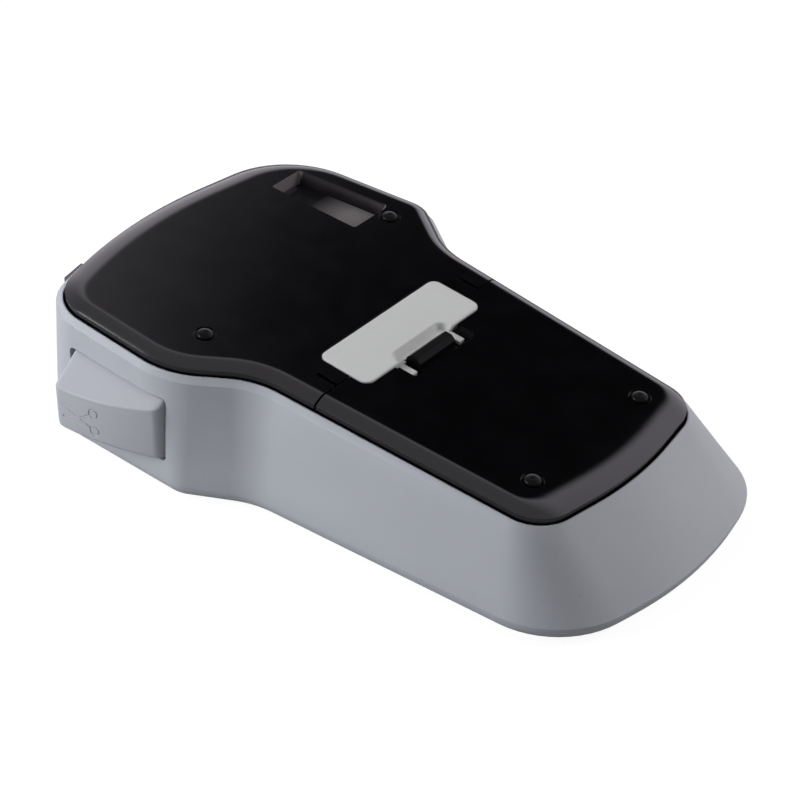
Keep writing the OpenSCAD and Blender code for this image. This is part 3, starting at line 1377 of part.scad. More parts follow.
// Chips and connectors on the board
module board_chips() {
    z = board_z + board_t;
    color([0.1, 0.1, 0.1]) for (c = chips) box([c[0], c[1], z], [c[0] + c[2], c[1] + c[3], z + c[4]]);
}
// Screws of the circuit board
module board_screws() {
    z = board_z + board_t;
    color(steel) for (p = post_places) translate([p[0], p[1], z]) {
        translate([0, 0, -board_screw_l]) cylinder(r = screw_r, h = board_screw_l + eps);
        cylinder(r = screw_head_r, h = screw_head_h);
    }
}
// Screws that hold the frame on the front cover
module case_screws() {
    color(steel) for (p = leg_places) translate([p[0], p[1], boss_top + screw_seat_t]) {
        translate([0, 0, -case_screw_l]) cylinder(r = screw_r, h = case_screw_l + eps);
        cylinder(r = screw_head_r, h = screw_head_h);
    }
}
// Display panel behind the lens
module lcd_panel() {
    color([0.55, 0.6, 0.55])
        box([-lens_half_w + 1, lens_y0 + 1, cover_t], [lens_half_w - 1, lens_y1 - 1, cover_t + lcd_t]);
}
// Clear lens of the display
module display_lens() {
    color([0.5, 0.55, 0.55])
        box([-lens_half_w, lens_y0, lens_sunk], [lens_half_w, lens_y1, lens_sunk + lens_t]);
}
// Flat cable from the display to the board
module lcd_flex() {
    z = cover_t + lcd_t;
    color([0.75, 0.5, 0.2]) {
        box([-flex_half_w, board_y1 - flex_overlap, z],
            [flex_half_w, lens_y0 + flex_overlap + 1, z + flex_t]);
        box([-flex_plug_half_w, board_y1 - flex_overlap, z + flex_t - eps],
            [flex_plug_half_w, board_y1 - 1, board_z]);
    }
}
// Rubber mat with the letter keys
module keypad_mat() {
    border = key_r + 0.7;
    half = (key_columns - 1) * key_pitch_x / 2 + border;
    z = cover_t + 0.2;
    color(key_light) {
        box([-half, key_first_y - border, z],
            [half, key_first_y + (key_rows - 1) * key_pitch_y + border, z + mat_t]);
        at_letter_keys() translate([0, 0, key_sunk]) cylinder(r = key_r, h = z - key_sunk + eps);
    }
}
// One function key
module function_key(name) {
    i = search([name], fkey_spots)[0];
    spot = fkey_spots[i];
    r = fkey_radius(name);
    translate([spot[1] * fkey_pitch, fkey_y + spot[2] * fkey_pitch, 0]) {
        translate([0, 0, key_sunk]) cylinder(r = r, h = fkey_top - key_sunk + eps);
        translate([0, 0, fkey_top]) cylinder(r = r + fkey_flange, h = mat_t);
    }
}
module ok_key() { color([0.2, 0.45, 0.75]) function_key("ok_key"); }
module up_key() { color(key_light) function_key("up_key"); }
module down_key() { color(key_light) function_key("down_key"); }
module left_key() { color(key_light) function_key("left_key"); }
module right_key() { color(key_light) function_key("right_key"); }
module power_key() { color([0.75, 0.2, 0.2]) function_key("power_key"); }
module print_key() { color([0.2, 0.45, 0.75]) function_key("print_key"); }
module back_key() { color(key_light) function_key("back_key"); }
module format_key() { color(key_light) function_key("format_key"); }
module settings_key() { color(key_light) function_key("settings_key"); }
module symbol_key() { color(key_light) function_key("symbol_key"); }
module save_key() { color(key_light) function_key("save_key"); }
// Power inlet with a bore for the plug
module power_inlet() {
    color([0.06, 0.06, 0.06]) translate([0, jack_y, jack_z]) difference() {
        union() {
            box([jack_x0, -jack_body / 2, -jack_body / 2],
                [jack_x1 - jack_nose_l, jack_body / 2, jack_body / 2]);
            rod_x(jack_x1 - jack_nose_l - eps, jack_x1, jack_nose_r);
        }
        rod_x(jack_x1 - jack_bore_l, jack_x1 + 1, jack_bore_r);
    }
}
// Switch that feels whether a cassette is in
module cassette_switch() {
    x = 10;
    s = cassette_s1 + cassette_gap + bay_wall;
    color([0.1, 0.1, 0.1]) on_back() box([x, s + 0.2, deck_z], [2 * x, s + 3, deck_z + 5]);
}
// Pins of both doors' hinges
module door_hinge_pins() {
    color(steel) on_back() {
        for (x = [head_lug_left, head_lug_right])
            translate([0, head_hinge_s, -hinge_depth])
                rod_x(x, x + lug_w + knuckle_gap + knuckle_w, hinge_pin_r);
        for (side = [-1, 1]) mirror([side < 0 ? 1 : 0, 0, 0]) translate([0, tail_hinge_s, -hinge_depth])
            rod_x(tail_lug_x - lug_w / 2 - knuckle_gap - knuckle_w, tail_lug_x + lug_w / 2, hinge_pin_r);
    }
}

rear_case();
front_cover();
inner_frame();
cassette_door();
battery_door();
battery_latch();
centre_tab();
window_pane();
cassette_door_feet();
battery_door_feet();
cutter_lever();
cutter_pivot_pin();
cutter_return_spring();
cutter_blade();
cutter_bracket();
tape_exit_mouth();
print_head();
print_head_bracket();
platen_roller();
platen_shaft();
platen_gear();
drive_motor();
motor_shaft();
motor_pinion();
idler_gear();
idler_pin();
takeup_spindle();
cassette_shell();
cassette_lid();
tape_roll();
ribbon_roll();
used_ribbon_roll();
label_tape();
batteries();
battery_springs();
battery_contacts();
main_board();
board_chips();
board_screws();
case_screws();
lcd_panel();
display_lens();
lcd_flex();
keypad_mat();
power_inlet();
cassette_switch();
door_hinge_pins();
ok_key();
up_key();
down_key();
left_key();
right_key();
power_key();
print_key();
back_key();
format_key();
settings_key();
symbol_key();
save_key();
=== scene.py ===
"""Looks of a handheld label printer that lies on its front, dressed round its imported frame.

Sizes in the classes are millimetres and become metres where a point is placed. X runs across, Y from
the battery end to the tape end and Z up from the front face. The back is tilted: a point on it is given
by x, by s along the back and by d above it.
"""

import logging
import math
from abc import ABC, abstractmethod
from collections.abc import Callable
from dataclasses import dataclass, field
from enum import Enum

import bpy
from bpy.types import Material, Node, NodeSocket, NodeTree, Object
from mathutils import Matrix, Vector


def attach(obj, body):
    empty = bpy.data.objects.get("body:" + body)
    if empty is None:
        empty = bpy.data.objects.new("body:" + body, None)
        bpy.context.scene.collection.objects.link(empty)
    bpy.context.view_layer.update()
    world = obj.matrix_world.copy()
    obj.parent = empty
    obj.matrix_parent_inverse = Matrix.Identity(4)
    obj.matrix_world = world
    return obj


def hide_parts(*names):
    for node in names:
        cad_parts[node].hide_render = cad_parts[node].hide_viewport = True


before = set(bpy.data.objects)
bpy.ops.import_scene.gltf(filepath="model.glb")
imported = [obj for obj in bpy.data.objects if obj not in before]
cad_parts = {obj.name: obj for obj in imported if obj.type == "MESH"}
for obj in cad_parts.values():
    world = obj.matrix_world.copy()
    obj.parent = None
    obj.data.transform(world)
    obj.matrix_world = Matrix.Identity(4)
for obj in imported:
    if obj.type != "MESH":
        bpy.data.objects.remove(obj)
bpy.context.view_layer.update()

LOG = logging.getLogger("label_printer")
MM = 0.001
BACK_TILT = math.radians(6.0)
BACK_HEIGHT = 42.5
MERGE = 1e-6
SMOOTH_ANGLE = 35.0
CUT_ANGLE = 30.0
BITE = 0.05
TOOL_LOW = -6.0
TOOL_HIGH = 1.0
TOOL_PAST = 1.0
NOISE_SPAN = (0.3, 0.7)
MIX_A, MIX_B, MIX_RESULT = 6, 7, 2
Point = tuple[float, float]
Triple = tuple[float, float, float]
Ring = list[Vector]
Place = Callable[[float, float, float], Vector]
Feed = NodeSocket | Triple | float


def at(x: float, y: float, z: float) -> Vector:
    """Gives a point of the part's own frame in metres."""
    return Vector((x, y, z)) * MM


def on_back(x: float, s: float, d: float) -> Vector:
    """Gives a point of the tilted back in metres.

    Args:
        x: Distance across from the middle.
        s: Distance along the back.
        d: Height above the back.

    Returns:
        The point in the part's own frame.
    """
    y = s * math.cos(BACK_TILT) - d * math.sin(BACK_TILT)
    z = BACK_HEIGHT + s * math.sin(BACK_TILT) + d * math.cos(BACK_TILT)
    return at(x, y, z)


def facing_left(y: float, z: float, x: float) -> Vector:
    """Gives a point whose first two values lie on a plane across X."""
    return at(x, y, z)


def quarter(steps: int, first: int = 0) -> list[float]:
    """Lists the angles of a quarter turn, from a first step to the last."""
    return [math.pi / 2 * k / steps for k in range(first, steps + 1)]


@dataclass(frozen=True)
class Outline:
    """Closed outline of straight stretches between rounded corners.

    Each corner holds its two places and its radius.
    """

    corners: tuple[Triple, ...]
    steps: int = 12

    def corner(self, i: int) -> tuple[Vector, Vector, Vector]:
        """Gives one corner and the ways to its neighbours.

        Args:
            i: Which corner.

        Returns:
            Its place, the direction back and the direction ahead.
        """
        here = Vector(self.corners[i][:2])
        behind = (Vector(self.corners[i - 1][:2]) - here).normalized()
        ahead = (Vector(self.corners[(i + 1) % len(self.corners)][:2]) - here).normalized()
        return here, behind, ahead

    def points(self, grow: float = 0.0) -> list[Point]:
        """Works out the outline's points.

        Args:
            grow: How far the outline is moved outwards.

        Returns:
            The points in order round the outline.
        """
        found = []
        for i, (_, _, radius) in enumerate(self.corners):
            here, behind, ahead = self.corner(i)
            side = 1.0 if ahead.cross(behind) > 0 else -1.0
            half = behind.angle(ahead) / 2
            centre = here + (behind + ahead).normalized() * radius / math.sin(half)
            start = here + behind * radius / math.tan(half) - centre
            first = math.atan2(start.y, start.x)
            sweep = side * (math.pi - 2 * half)
            reach = radius + side * grow
            for k in range(self.steps + 1):
                turn = first + sweep * k / self.steps
                found.append((centre.x + reach * math.cos(turn), centre.y + reach * math.sin(turn)))
        return found

    def drawn_in(self, widths: tuple[float, ...]) -> "Outline":
        """Gives the outline with each side drawn in by its own width.

        Args:
            widths: Width for the side that ends at each corner.

        Returns:
            The smaller outline.
        """
        moved = []
        for i, (_, _, radius) in enumerate(self.corners):
            here, behind, ahead = self.corner(i)
            before, after = widths[i], widths[(i + 1) % len(widths)]
            turn = ahead.cross(behind)
            place = here + (behind * after + ahead * before) / turn
            moved.append((place.x, place.y, radius - math.copysign((before + after) / 2, turn)))
        return Outline(tuple(moved), self.steps)

    def inset(self, by: float, radius: float) -> "Outline":
        """Gives the outline drawn in, with corners of one radius.

        Args:
            by: How far each side moves inwards.
            radius: Radius of the new corners.

        Returns:
            The smaller outline.
        """
        moved = []
        for i, (x, y, _) in enumerate(self.corners):
            _, behind, ahead = self.corner(i)
            shift = (behind + ahead).normalized() * by / math.sin(behind.angle(ahead) / 2)
            moved.append((x + shift.x, y + shift.y, radius))
        return Outline(tuple(moved), self.steps)

    def ring(self, grow: float, height: float, place: Place = on_back) -> Ring:
        """Places the outline, grown, at a height."""
        return [place(x, y, height) for x, y in self.points(grow)]


def rectangle(x0: float, y0: float, x1: float, y1: float, r: float, steps: int = 8) -> Outline:
    """Gives the outline of a rectangle with round corners."""
    return Outline(((x0, y0, r), (x1, y0, r), (x1, y1, r), (x0, y1, r)), steps)


def circle(x: float, y: float, r: float, count: int = 40) -> list[Point]:
    """Gives the points of a circle."""
    turns = [2 * math.pi * k / count for k in range(count)]
    return [(x + r * math.cos(g), y + r * math.sin(g)) for g in turns]


def clipped(points: list[Point], cut: float, side: int) -> list[Point]:
    """Keeps the part of an outline on one side of a line across the back.

    Args:
        points: The whole outline.
        cut: Place of the line along the back.
        side: 1 for the part beyond the line, -1 for the part before it.

    Returns:
        The kept outline, closed along the line.
    """
    kept = []
    for a, b in zip(points, points[1:] + points[:1]):
        a_in = side * (a[1] - cut) > 0
        b_in = side * (b[1] - cut) > 0
        if a_in:
            kept.append(a)
        if a_in != b_in:
            share = (cut - a[1]) / (b[1] - a[1])
            kept.append((a[0] + (b[0] - a[0]) * share, cut))
    return kept


def alone(piece: Object) -> None:
    """Selects one piece and nothing else, and makes it the active one.

    Args:
        piece: The piece.
    """
    bpy.ops.object.select_all(action="DESELECT")
    piece.select_set(True)
    bpy.context.view_layer.objects.active = piece


def edit(piece: Object) -> None:
    """Opens one piece, and nothing else, in edit mode."""
    alone(piece)
    bpy.ops.object.mode_set(mode="EDIT")


def leave() -> None:
    """Goes back to object mode."""
    bpy.ops.object.mode_set(mode="OBJECT")


class Skin:
    """Mesh that grows ring by ring from a circle, each edge loop pulled out and put in its place."""

    def __init__(self, name: str, ring: Ring) -> None:
        """Starts from a circle whose points are moved onto the first ring.

        Args:
            name: Name of the piece.
            ring: Where the first ring's points go.
        """
        bpy.ops.object.select_all(action="DESELECT")
        bpy.ops.mesh.primitive_circle_add(vertices=len(ring), radius=MM, fill_type="NOTHING")
        self.piece: Object = bpy.context.active_object
        self.piece.name = name
        self.piece.data.name = name
        self.last = list(range(len(ring)))
        self._put(ring)

    def _put(self, ring: Ring) -> None:
        """Moves the last ring's points onto a ring."""
        for i, point in zip(self.last, ring):
            self.piece.data.vertices[i].co = point

    def pull(self, *rings: Ring) -> "Skin":
        """Extrudes the open edge loop onto each ring in turn.

        Args:
            rings: The rings, in order.

        Returns:
            The skin itself.
        """
        mesh = self.piece.data
        for ring in rings:
            order = {tuple(mesh.vertices[i].co): k for k, i in enumerate(self.last)}
            edit(self.piece)
            bpy.ops.mesh.extrude_region_move()
            leave()
            fresh = [v.index for v in mesh.vertices if v.select]
            fresh.sort(key=lambda i: order[tuple(mesh.vertices[i].co)])
            self.last = fresh
            self._put(ring)
        return self

    def cap(self) -> "Skin":
        """Fills the open edge loop.

        Returns:
            The skin itself.
        """
        edit(self.piece)
        bpy.ops.mesh.edge_face_add()
        leave()
        return self

    def cap_start(self) -> "Skin":
        """Fills the first ring.

        Returns:
            The skin itself.
        """
        edit(self.piece)
        bpy.ops.mesh.select_all(action="DESELECT")
        leave()
        for v in self.piece.data.vertices[:len(self.last)]:
            v.select = True
        return self.cap()


def outwards(piece: Object, smooth: float = SMOOTH_ANGLE) -> Object:
    """Merges doubles, turns all faces outwards and shades the piece.

    Args:
        piece: The piece.
        smooth: Greatest angle in degrees that is shaded smooth.

    Returns:
        The piece.
    """
    edit(piece)
    bpy.ops.mesh.select_all(action="SELECT")
    bpy.ops.mesh.remove_doubles(threshold=MERGE)
    bpy.ops.mesh.normals_make_consistent(inside=False)
    leave()
    bpy.ops.object.shade_smooth_by_angle(angle=math.radians(smooth))
    return piece


def closed(name: str, rings: list[Ring], smooth: float = SMOOTH_ANGLE) -> Object:
    """Skins rings into a shape with both ends filled."""
    return outwards(Skin(name, rings[0]).pull(*rings[1:]).cap().cap_start().piece, smooth)


def looped(name: str, rings: list[Ring]) -> Object:
    """Skins rings into a shape that ends on its own first ring."""
    return outwards(Skin(name, rings[0]).pull(*rings[1:], rings[0]).piece)


def prism(name: str, points: list[Point], low: float, high: float, place: Place = at) -> Object:
    """Makes a straight block on an outline, between two heights."""
    return closed(name, [[place(x, y, h) for x, y in points] for h in (low, high)])


def block(name: str, a: Triple, b: Triple, place: Place = at) -> Object:
    """Makes a box between two corners."""
    points = [(a[0], a[1]), (b[0], a[1]), (b[0], b[1]), (a[0], b[1])]
    return prism(name, points, a[2], b[2], place)


def rod(name: str, start: Triple, end_x: float, r: float, place: Place = at) -> Object:
    """Makes a rod along X.

    Args:
        name: Name of the piece.
        start: First point of its middle line.
        end_x: Where the middle line ends.
        r: Radius.
        place: What turns three values into a point.

    Returns:
        The closed rod.
    """
    x0, y, z = start
    section = circle(0.0, 0.0, r, 32)
    return closed(name, [[place(x, y + p, z + q) for p, q in section] for x in (x0, end_x)])


def modified(piece: Object, kind: str, **settings: object) -> Object:
    """Adds a modifier to a piece and applies it.

    Args:
        piece: The piece.
        kind: Kind of the modifier.
        settings: Values of the modifier.

    Returns:
        The changed piece, selected alone.
    """
    modifier = piece.modifiers.new(kind.lower(), kind)
    for name, value in settings.items():
        setattr(modifier, name, value)
    alone(piece)
    bpy.ops.object.modifier_apply(modifier=modifier.name)
    return piece


class Carve(Enum):
    """What a tool does to the piece that it meets."""

    CUT = "DIFFERENCE"
    FUSE = "UNION"


def carve(piece: Object, tools: list[Object], how: Carve = Carve.CUT) -> Object:
    """Cuts tools out of a piece, or fuses them with it, and throws the tools away.

    Args:
        piece: The piece that is kept.
        tools: Closed shapes.
        how: Whether they are cut out or fused.

    Returns:
        The piece.
    """
    for tool in tools:
        modified(piece, "BOOLEAN", operation=how.value, solver="EXACT", object=tool)
        bpy.data.objects.remove(tool)
    return piece


def levelled(piece: Object) -> Object:
    """Lets the largest faces decide the shading of a piece that is already smooth."""
    return modified(piece, "WEIGHTED_NORMAL", keep_sharp=True)


def soften(piece: Object, width: float, segments: int = 2, angle: float = 40.0) -> Object:
    """Rounds the sharp edges of a piece.

    Args:
        piece: The piece.
        width: Width of the rounding in millimetres.
        segments: Steps in it.
        angle: Least angle in degrees of an edge that is rounded.

    Returns:
        The piece, shaded smooth.
    """
    least = math.radians(angle)
    modified(piece, "BEVEL", width=width * MM, segments=segments, limit_method="ANGLE", angle_limit=least)
    bpy.ops.object.shade_smooth_by_angle(angle=least)
    return piece


def joined(name: str, pieces: list[Object]) -> Object:
    """Joins pieces into one object.

    Args:
        name: Name of the object.
        pieces: What it is made of.

    Returns:
        The object.
    """
    alone(pieces[0])
    for piece in pieces:
        piece.select_set(True)
    bpy.ops.object.join()
    whole = bpy.context.active_object
    whole.name = name
    whole.data.name = name
    return whole


class Graph:
    """Node tree with short ways to add nodes and to feed them."""

    def __init__(self, tree: NodeTree) -> None:
        """Takes over a node tree.

        Args:
            tree: The tree of a material or of the world.
        """
        self.nodes = tree.nodes
        self.links = tree.links

    def feed(self, node: Node, feeds: dict[str | int, Feed]) -> None:
        """Puts a socket, a colour or a number into inputs of a node.

        Args:
            node: The node.
            feeds: What goes into each input.
        """
        for name, value in feeds.items():
            socket = node.inputs[name]
            if isinstance(value, NodeSocket):
                self.links.new(value, socket)
            else:
                socket.default_value = (*value, 1.0) if socket.type == "RGBA" else value

    def add(self, kind: str, feeds: dict[str | int, Feed] | None = None, **settings: str) -> Node:
        """Adds a node.

        Args:
            kind: Kind of the node.
            feeds: What goes into its inputs.
            settings: What is set on the node itself.

        Returns:
            The node.
        """
        node = self.nodes.new("ShaderNode" + kind)
        for name, value in settings.items():
            setattr(node, name, value)
        self.feed(node, feeds or {})
        return node

    def calc(self, operation: str, *values: NodeSocket) -> NodeSocket:
        """Gives the result of one step of arithmetic."""
        return self.add("Math", dict(enumerate(values)), operation=operation).outputs[0]

    def span(self, value: NodeSocket, low: float, high: float, to_low: float, to_high: float,
             **settings: str) -> NodeSocket:
        """Maps a value from one span to another and holds it there."""
        feeds = {"Value": value, "From Min": low, "From Max": high, "To Min": to_low, "To Max": to_high}
        return self.add("MapRange", feeds, **settings).outputs["Result"]

    def axis(self, name: str, source: NodeSocket) -> NodeSocket:
        """Gives one value of a vector."""
        return self.add("SeparateXYZ", {"Vector": source}).outputs[name]


class Paint(Graph):
    """Node tree of one material, with its main shader and the object's coordinates."""

    def __init__(self, material: Material) -> None:
        """Takes over the tree of a new material.

        Args:
            material: The material.
        """
        super().__init__(material.node_tree)
        self.shader: Node = self.nodes["Principled BSDF"]
        self.place: NodeSocket = self.add("TexCoord").outputs["Object"]

    def set(self, **feeds: Feed) -> None:
        """Feeds inputs of the main shader, named with underscores for spaces."""
        self.feed(self.shader, {name.replace("_", " "): value for name, value in feeds.items()})

    def turned(self, turn: Triple, stretch: Triple = (1.0, 1.0, 1.0)) -> NodeSocket:
        """Gives the object's coordinates turned and stretched."""
        feeds = {"Vector": self.place, "Rotation": turn, "Scale": stretch}
        return self.add("Mapping", feeds).outputs["Vector"]

    def along(self) -> NodeSocket:
        """Gives the place along the tilted back."""
        return self.axis("Y", self.turned((-BACK_TILT, 0.0, 0.0)))

    def noise(self, size: float, detail: float = 2.0, source: NodeSocket | None = None) -> NodeSocket:
        """Gives a noise whose lumps have a size in millimetres."""
        feeds = {"Vector": source or self.place, "Scale": 1.0 / (size * MM), "Detail": detail}
        return self.add("TexNoise", feeds).outputs["Fac"]

    def varied(self, noise: NodeSocket, low: float = 0.0, high: float = 1.0) -> NodeSocket:
        """Maps the usual span of a noise to another one."""
        return self.span(noise, *NOISE_SPAN, low, high)

    def cells(self, size: float) -> NodeSocket:
        """Gives the distance to scattered points that lie a size in millimetres apart."""
        return self.add("TexVoronoi", {"Vector": self.place, "Scale": 1.0 / (size * MM)}).outputs["Distance"]

    def mix(self, share: NodeSocket, a: Feed, b: Feed) -> NodeSocket:
        """Blends two colours by a share."""
        return self.add("Mix", {"Factor": share, MIX_A: a, MIX_B: b}, data_type="RGBA").outputs[MIX_RESULT]

    def bump(self, height: NodeSocket, depth: float) -> NodeSocket:
        """Gives the normal of a surface whose height runs over a depth in millimetres."""
        return self.add("Bump", {"Distance": depth * MM, "Height": height}).outputs["Normal"]


def shade(colour: Triple, share: float) -> Triple:
    """Gives a colour made lighter or darker by a share."""
    return tuple(min(1.0, part * share) for part in colour)


@dataclass(frozen=True)
class Finish(ABC):
    """Look of one slot of the record."""

    slot: str
    colour: Triple
    roughness: float
    part: str = "look"

    def material(self) -> Material:
        """Gives the finish's material, made the first time it is asked for.

        Returns:
            The material.
        """
        name = f"{self.slot}_{self.part}"
        found = bpy.data.materials.get(name)
        if found is None:
            found = bpy.data.materials.new(name)
            found.use_nodes = True
            paint = Paint(found)
            paint.set(Base_Color=self.colour, Roughness=self.roughness)
            self.apply(paint)
        return found

    @abstractmethod
    def apply(self, paint: Paint) -> None:
        """Adds what makes this finish its own."""


@dataclass(frozen=True)
class Moulded(Finish):
    """Moulded plastic with a fine grain, slight clouds of colour and a few specks of dust."""

    grain: float = 0.35
    depth: float = 0.012
    clouds: float = 0.06
    cloud_size: float = 28.0
    specks: float = 0.0
    speck_gap: float = 7.0
    speck_edge: Point = (0.018, 0.03)
    speck_shade: float = 0.25
    patch_size: float = 11.0
    patch_edge: Point = (0.62, 0.66)
    coat: float = 0.0
    coat_roughness: float = 0.12
    wear: float = 0.04
    wear_size: float = 9.0
    gloss: float = 0.5

    def speckled(self, paint: Paint, colour: NodeSocket) -> NodeSocket:
        """Strews dark specks over a colour, in patches.

        Args:
            paint: The material's nodes.
            colour: The colour below.

        Returns:
            The colour with its specks.
        """
        near = paint.span(paint.cells(self.speck_gap), *self.speck_edge, 1.0, 0.0)
        patch = paint.span(paint.noise(self.patch_size, 1.0), *self.patch_edge, 0.0, self.specks)
        return paint.mix(paint.calc("MULTIPLY", near, patch), colour, shade(self.colour, self.speck_shade))

    def apply(self, paint: Paint) -> None:
        """Adds grain, clouds, specks and a roughness that varies.

        Args:
            paint: The material's nodes.
        """
        dark, light = (shade(self.colour, 1.0 + side * self.clouds) for side in (-1, 1))
        colour = paint.mix(paint.varied(paint.noise(self.cloud_size, 3.0)), dark, light)
        if self.specks > 0:
            colour = self.speckled(paint, colour)
        rub = paint.noise(self.wear_size, 3.0)
        rough = paint.varied(rub, self.roughness - self.wear, self.roughness + self.wear)
        grain = paint.bump(paint.noise(self.grain, 1.5), self.depth)
        paint.set(Base_Color=colour, Specular_IOR_Level=self.gloss, Roughness=rough, Normal=grain)
        if self.coat > 0:
            paint.set(Coat_Weight=self.coat, Coat_Roughness=self.coat_roughness)


@dataclass(frozen=True)
class Metal(Finish):
    """Bare metal with fine marks of the tool along one axis."""

    stretch: Triple = (1.0, 0.06, 1.0)
    mark: float = 0.5
    depth: float = 0.006
    wear: Point = (-0.08, 0.1)

    def apply(self, paint: Paint) -> None:
        """Adds drawn lines to its gloss and its surface.

        Args:
            paint: The material's nodes.
        """
        lines = paint.noise(self.mark, 3.0, paint.turned((BACK_TILT, 0.0, 0.0), self.stretch))
        rough = paint.varied(lines, *(self.roughness + step for step in self.wear))
        paint.set(Metallic=1.0, Roughness=rough, Normal=paint.bump(lines, self.depth))


@dataclass(frozen=True)
class Clear(Finish):
    """Clear plastic with faint haze."""

    through: float = 0.9
    index: float = 1.49
    haze: float = 0.05
    haze_size: float = 6.0

    def apply(self, paint: Paint) -> None:
        """Lets light through and varies the gloss a little."""
        rough = paint.varied(paint.noise(self.haze_size), self.roughness, self.roughness + self.haze)
        paint.set(Transmission_Weight=self.through, IOR=self.index, Roughness=rough)


@dataclass(frozen=True)
class SmokedWithPaintedLight(Finish):
    """Smoked window plastic with painted light and shade: dark, a painted shadow, where the inside lies in
    shade, and grey, painted light, where light falls in.
    """

    # colour of the painted light, where light falls in
    lit: Triple = (0.08, 0.08, 0.08)
    from_s: float = 0.0
    to_s: float = 1.0
    gloss: float = 0.25
    haze: float = 0.03
    haze_size: float = 8.0

    def apply(self, paint: Paint) -> None:
        """Blends from the painted shade to the painted light along the back, with faint clouds in its gloss.

        Args:
            paint: The material's nodes.
        """
        raised = BACK_HEIGHT * math.sin(BACK_TILT)
        # painted light and shade: dark where the inside lies in shadow, grey where light falls in
        share = paint.span(paint.along(), (self.from_s + raised) * MM, (self.to_s + raised) * MM, 0.0, 1.0)
        colour = paint.mix(share, self.colour, self.lit)
        haze = paint.noise(self.haze_size)
        rough = paint.varied(haze, self.roughness - self.haze, self.roughness + self.haze)
        paint.set(Base_Color=colour, Specular_IOR_Level=self.gloss, Roughness=rough)


@dataclass(frozen=True)
class Wound(Finish):
    """Side of a wound roll, with the fine rings of its turns."""

    layer: float = 0.25
    layer_edge: Point = (0.35, 0.65)
    layer_shade: float = 0.86
    depth: float = 0.01

    def apply(self, paint: Paint) -> None:
        """Adds fine layers along the axis and across it.

        Args:
            paint: The material's nodes.
        """
        layers = paint.noise(self.layer)
        share = paint.span(layers, *self.layer_edge, 0.0, 1.0)
        colour = paint.mix(share, shade(self.colour, self.layer_shade), self.colour)
        paint.set(Base_Color=colour, Normal=paint.bump(layers, self.depth))


@dataclass(frozen=True)
class Sleeve(Finish):
    """Printed sleeve of the battery cells: a dark body with one bright end."""

    bright: Triple = (0.62, 0.42, 0.16)
    end: float = -18.0
    edge: float = 0.2
    crease: float = 1.2
    depth: float = 0.006

    def apply(self, paint: Paint) -> None:
        """Paints one end of the cells in the bright colour, under a lacquer.

        Args:
            paint: The material's nodes.
        """
        band = paint.span(paint.along(), self.end * MM, (self.end + self.edge) * MM, 0.0, 1.0)
        colour = paint.mix(band, self.colour, self.bright)
        creases = paint.bump(paint.noise(self.crease), self.depth)
        paint.set(Base_Color=colour, Normal=creases, Metallic=0.35, Coat_Weight=0.6, Coat_Roughness=0.15)


@dataclass(frozen=True)
class Board(Finish):
    """Circuit board with lacquered traces and bare pads."""

    scale: float = 110.0
    gap: float = 0.012
    tones: Point = (0.8, 1.9)
    pad: Triple = (0.6, 0.58, 0.5)
    pad_gap: float = 3.1
    pad_edge: Point = (0.12, 0.15)
    depth: float = 0.02

    def apply(self, paint: Paint) -> None:
        """Draws traces as bricks of two tones, with a lacquer over them.

        Args:
            paint: The material's nodes.
        """
        second, line = (shade(self.colour, tone) for tone in self.tones)
        feeds = {"Vector": paint.place, "Scale": self.scale, "Mortar Size": self.gap, "Color1": self.colour,
                 "Color2": second, "Mortar": line}
        bricks = paint.add("TexBrick", feeds).outputs
        pads = paint.span(paint.cells(self.pad_gap), *self.pad_edge, 1.0, 0.0)
        colour = paint.mix(pads, bricks["Color"], self.pad)
        paint.set(Base_Color=colour, Normal=paint.bump(bricks["Fac"], self.depth), Coat_Weight=0.4,
                  Coat_Roughness=0.2)


@dataclass(frozen=True)
class Display(Finish):
    """Liquid crystal panel with its faint grid of dots."""

    dot: float = 0.7
    dot_shade: float = 0.93
    cloud_size: float = 20.0
    cloud_share: float = 0.25
    cloud_shade: float = 0.85

    def apply(self, paint: Paint) -> None:
        """Draws the grid a little darker than the ground.

        Args:
            paint: The material's nodes.
        """
        feeds = {"Vector": paint.place, "Scale": 1.0 / (self.dot * MM), "Color1": self.colour,
                 "Color2": shade(self.colour, self.dot_shade)}
        grid = paint.add("TexChecker", feeds).outputs["Color"]
        cloud = paint.varied(paint.noise(self.cloud_size), 0.0, self.cloud_share)
        paint.set(Base_Color=paint.mix(cloud, grid, shade(self.colour, self.cloud_shade)))


CASE_GREY = Moulded("case_grey", (0.43, 0.44, 0.475), 0.46, grain=0.3, depth=0.006, clouds=0.02, specks=0.9,
                    gloss=0.25)
FRONT_CHARCOAL = Moulded("front_charcoal", (0.035, 0.036, 0.04), 0.5)
FRAME_DARK = Moulded("frame_dark", (0.05, 0.05, 0.054), 0.55)
DOOR_BLACK = Moulded("door_black", (0.0012, 0.0010, 0.0014), 0.13, grain=0.42, depth=0.004, clouds=0.05,
                     wear=0.01, gloss=0.5)
LATCH_BLACK = Moulded("latch_black", (0.003, 0.003, 0.003), 0.3, grain=0.3, depth=0.01, gloss=0.06)
TAB_LIGHT = Moulded("tab_light", (0.58, 0.58, 0.575), 0.48, grain=0.3, depth=0.006, clouds=0.02, gloss=0.25)
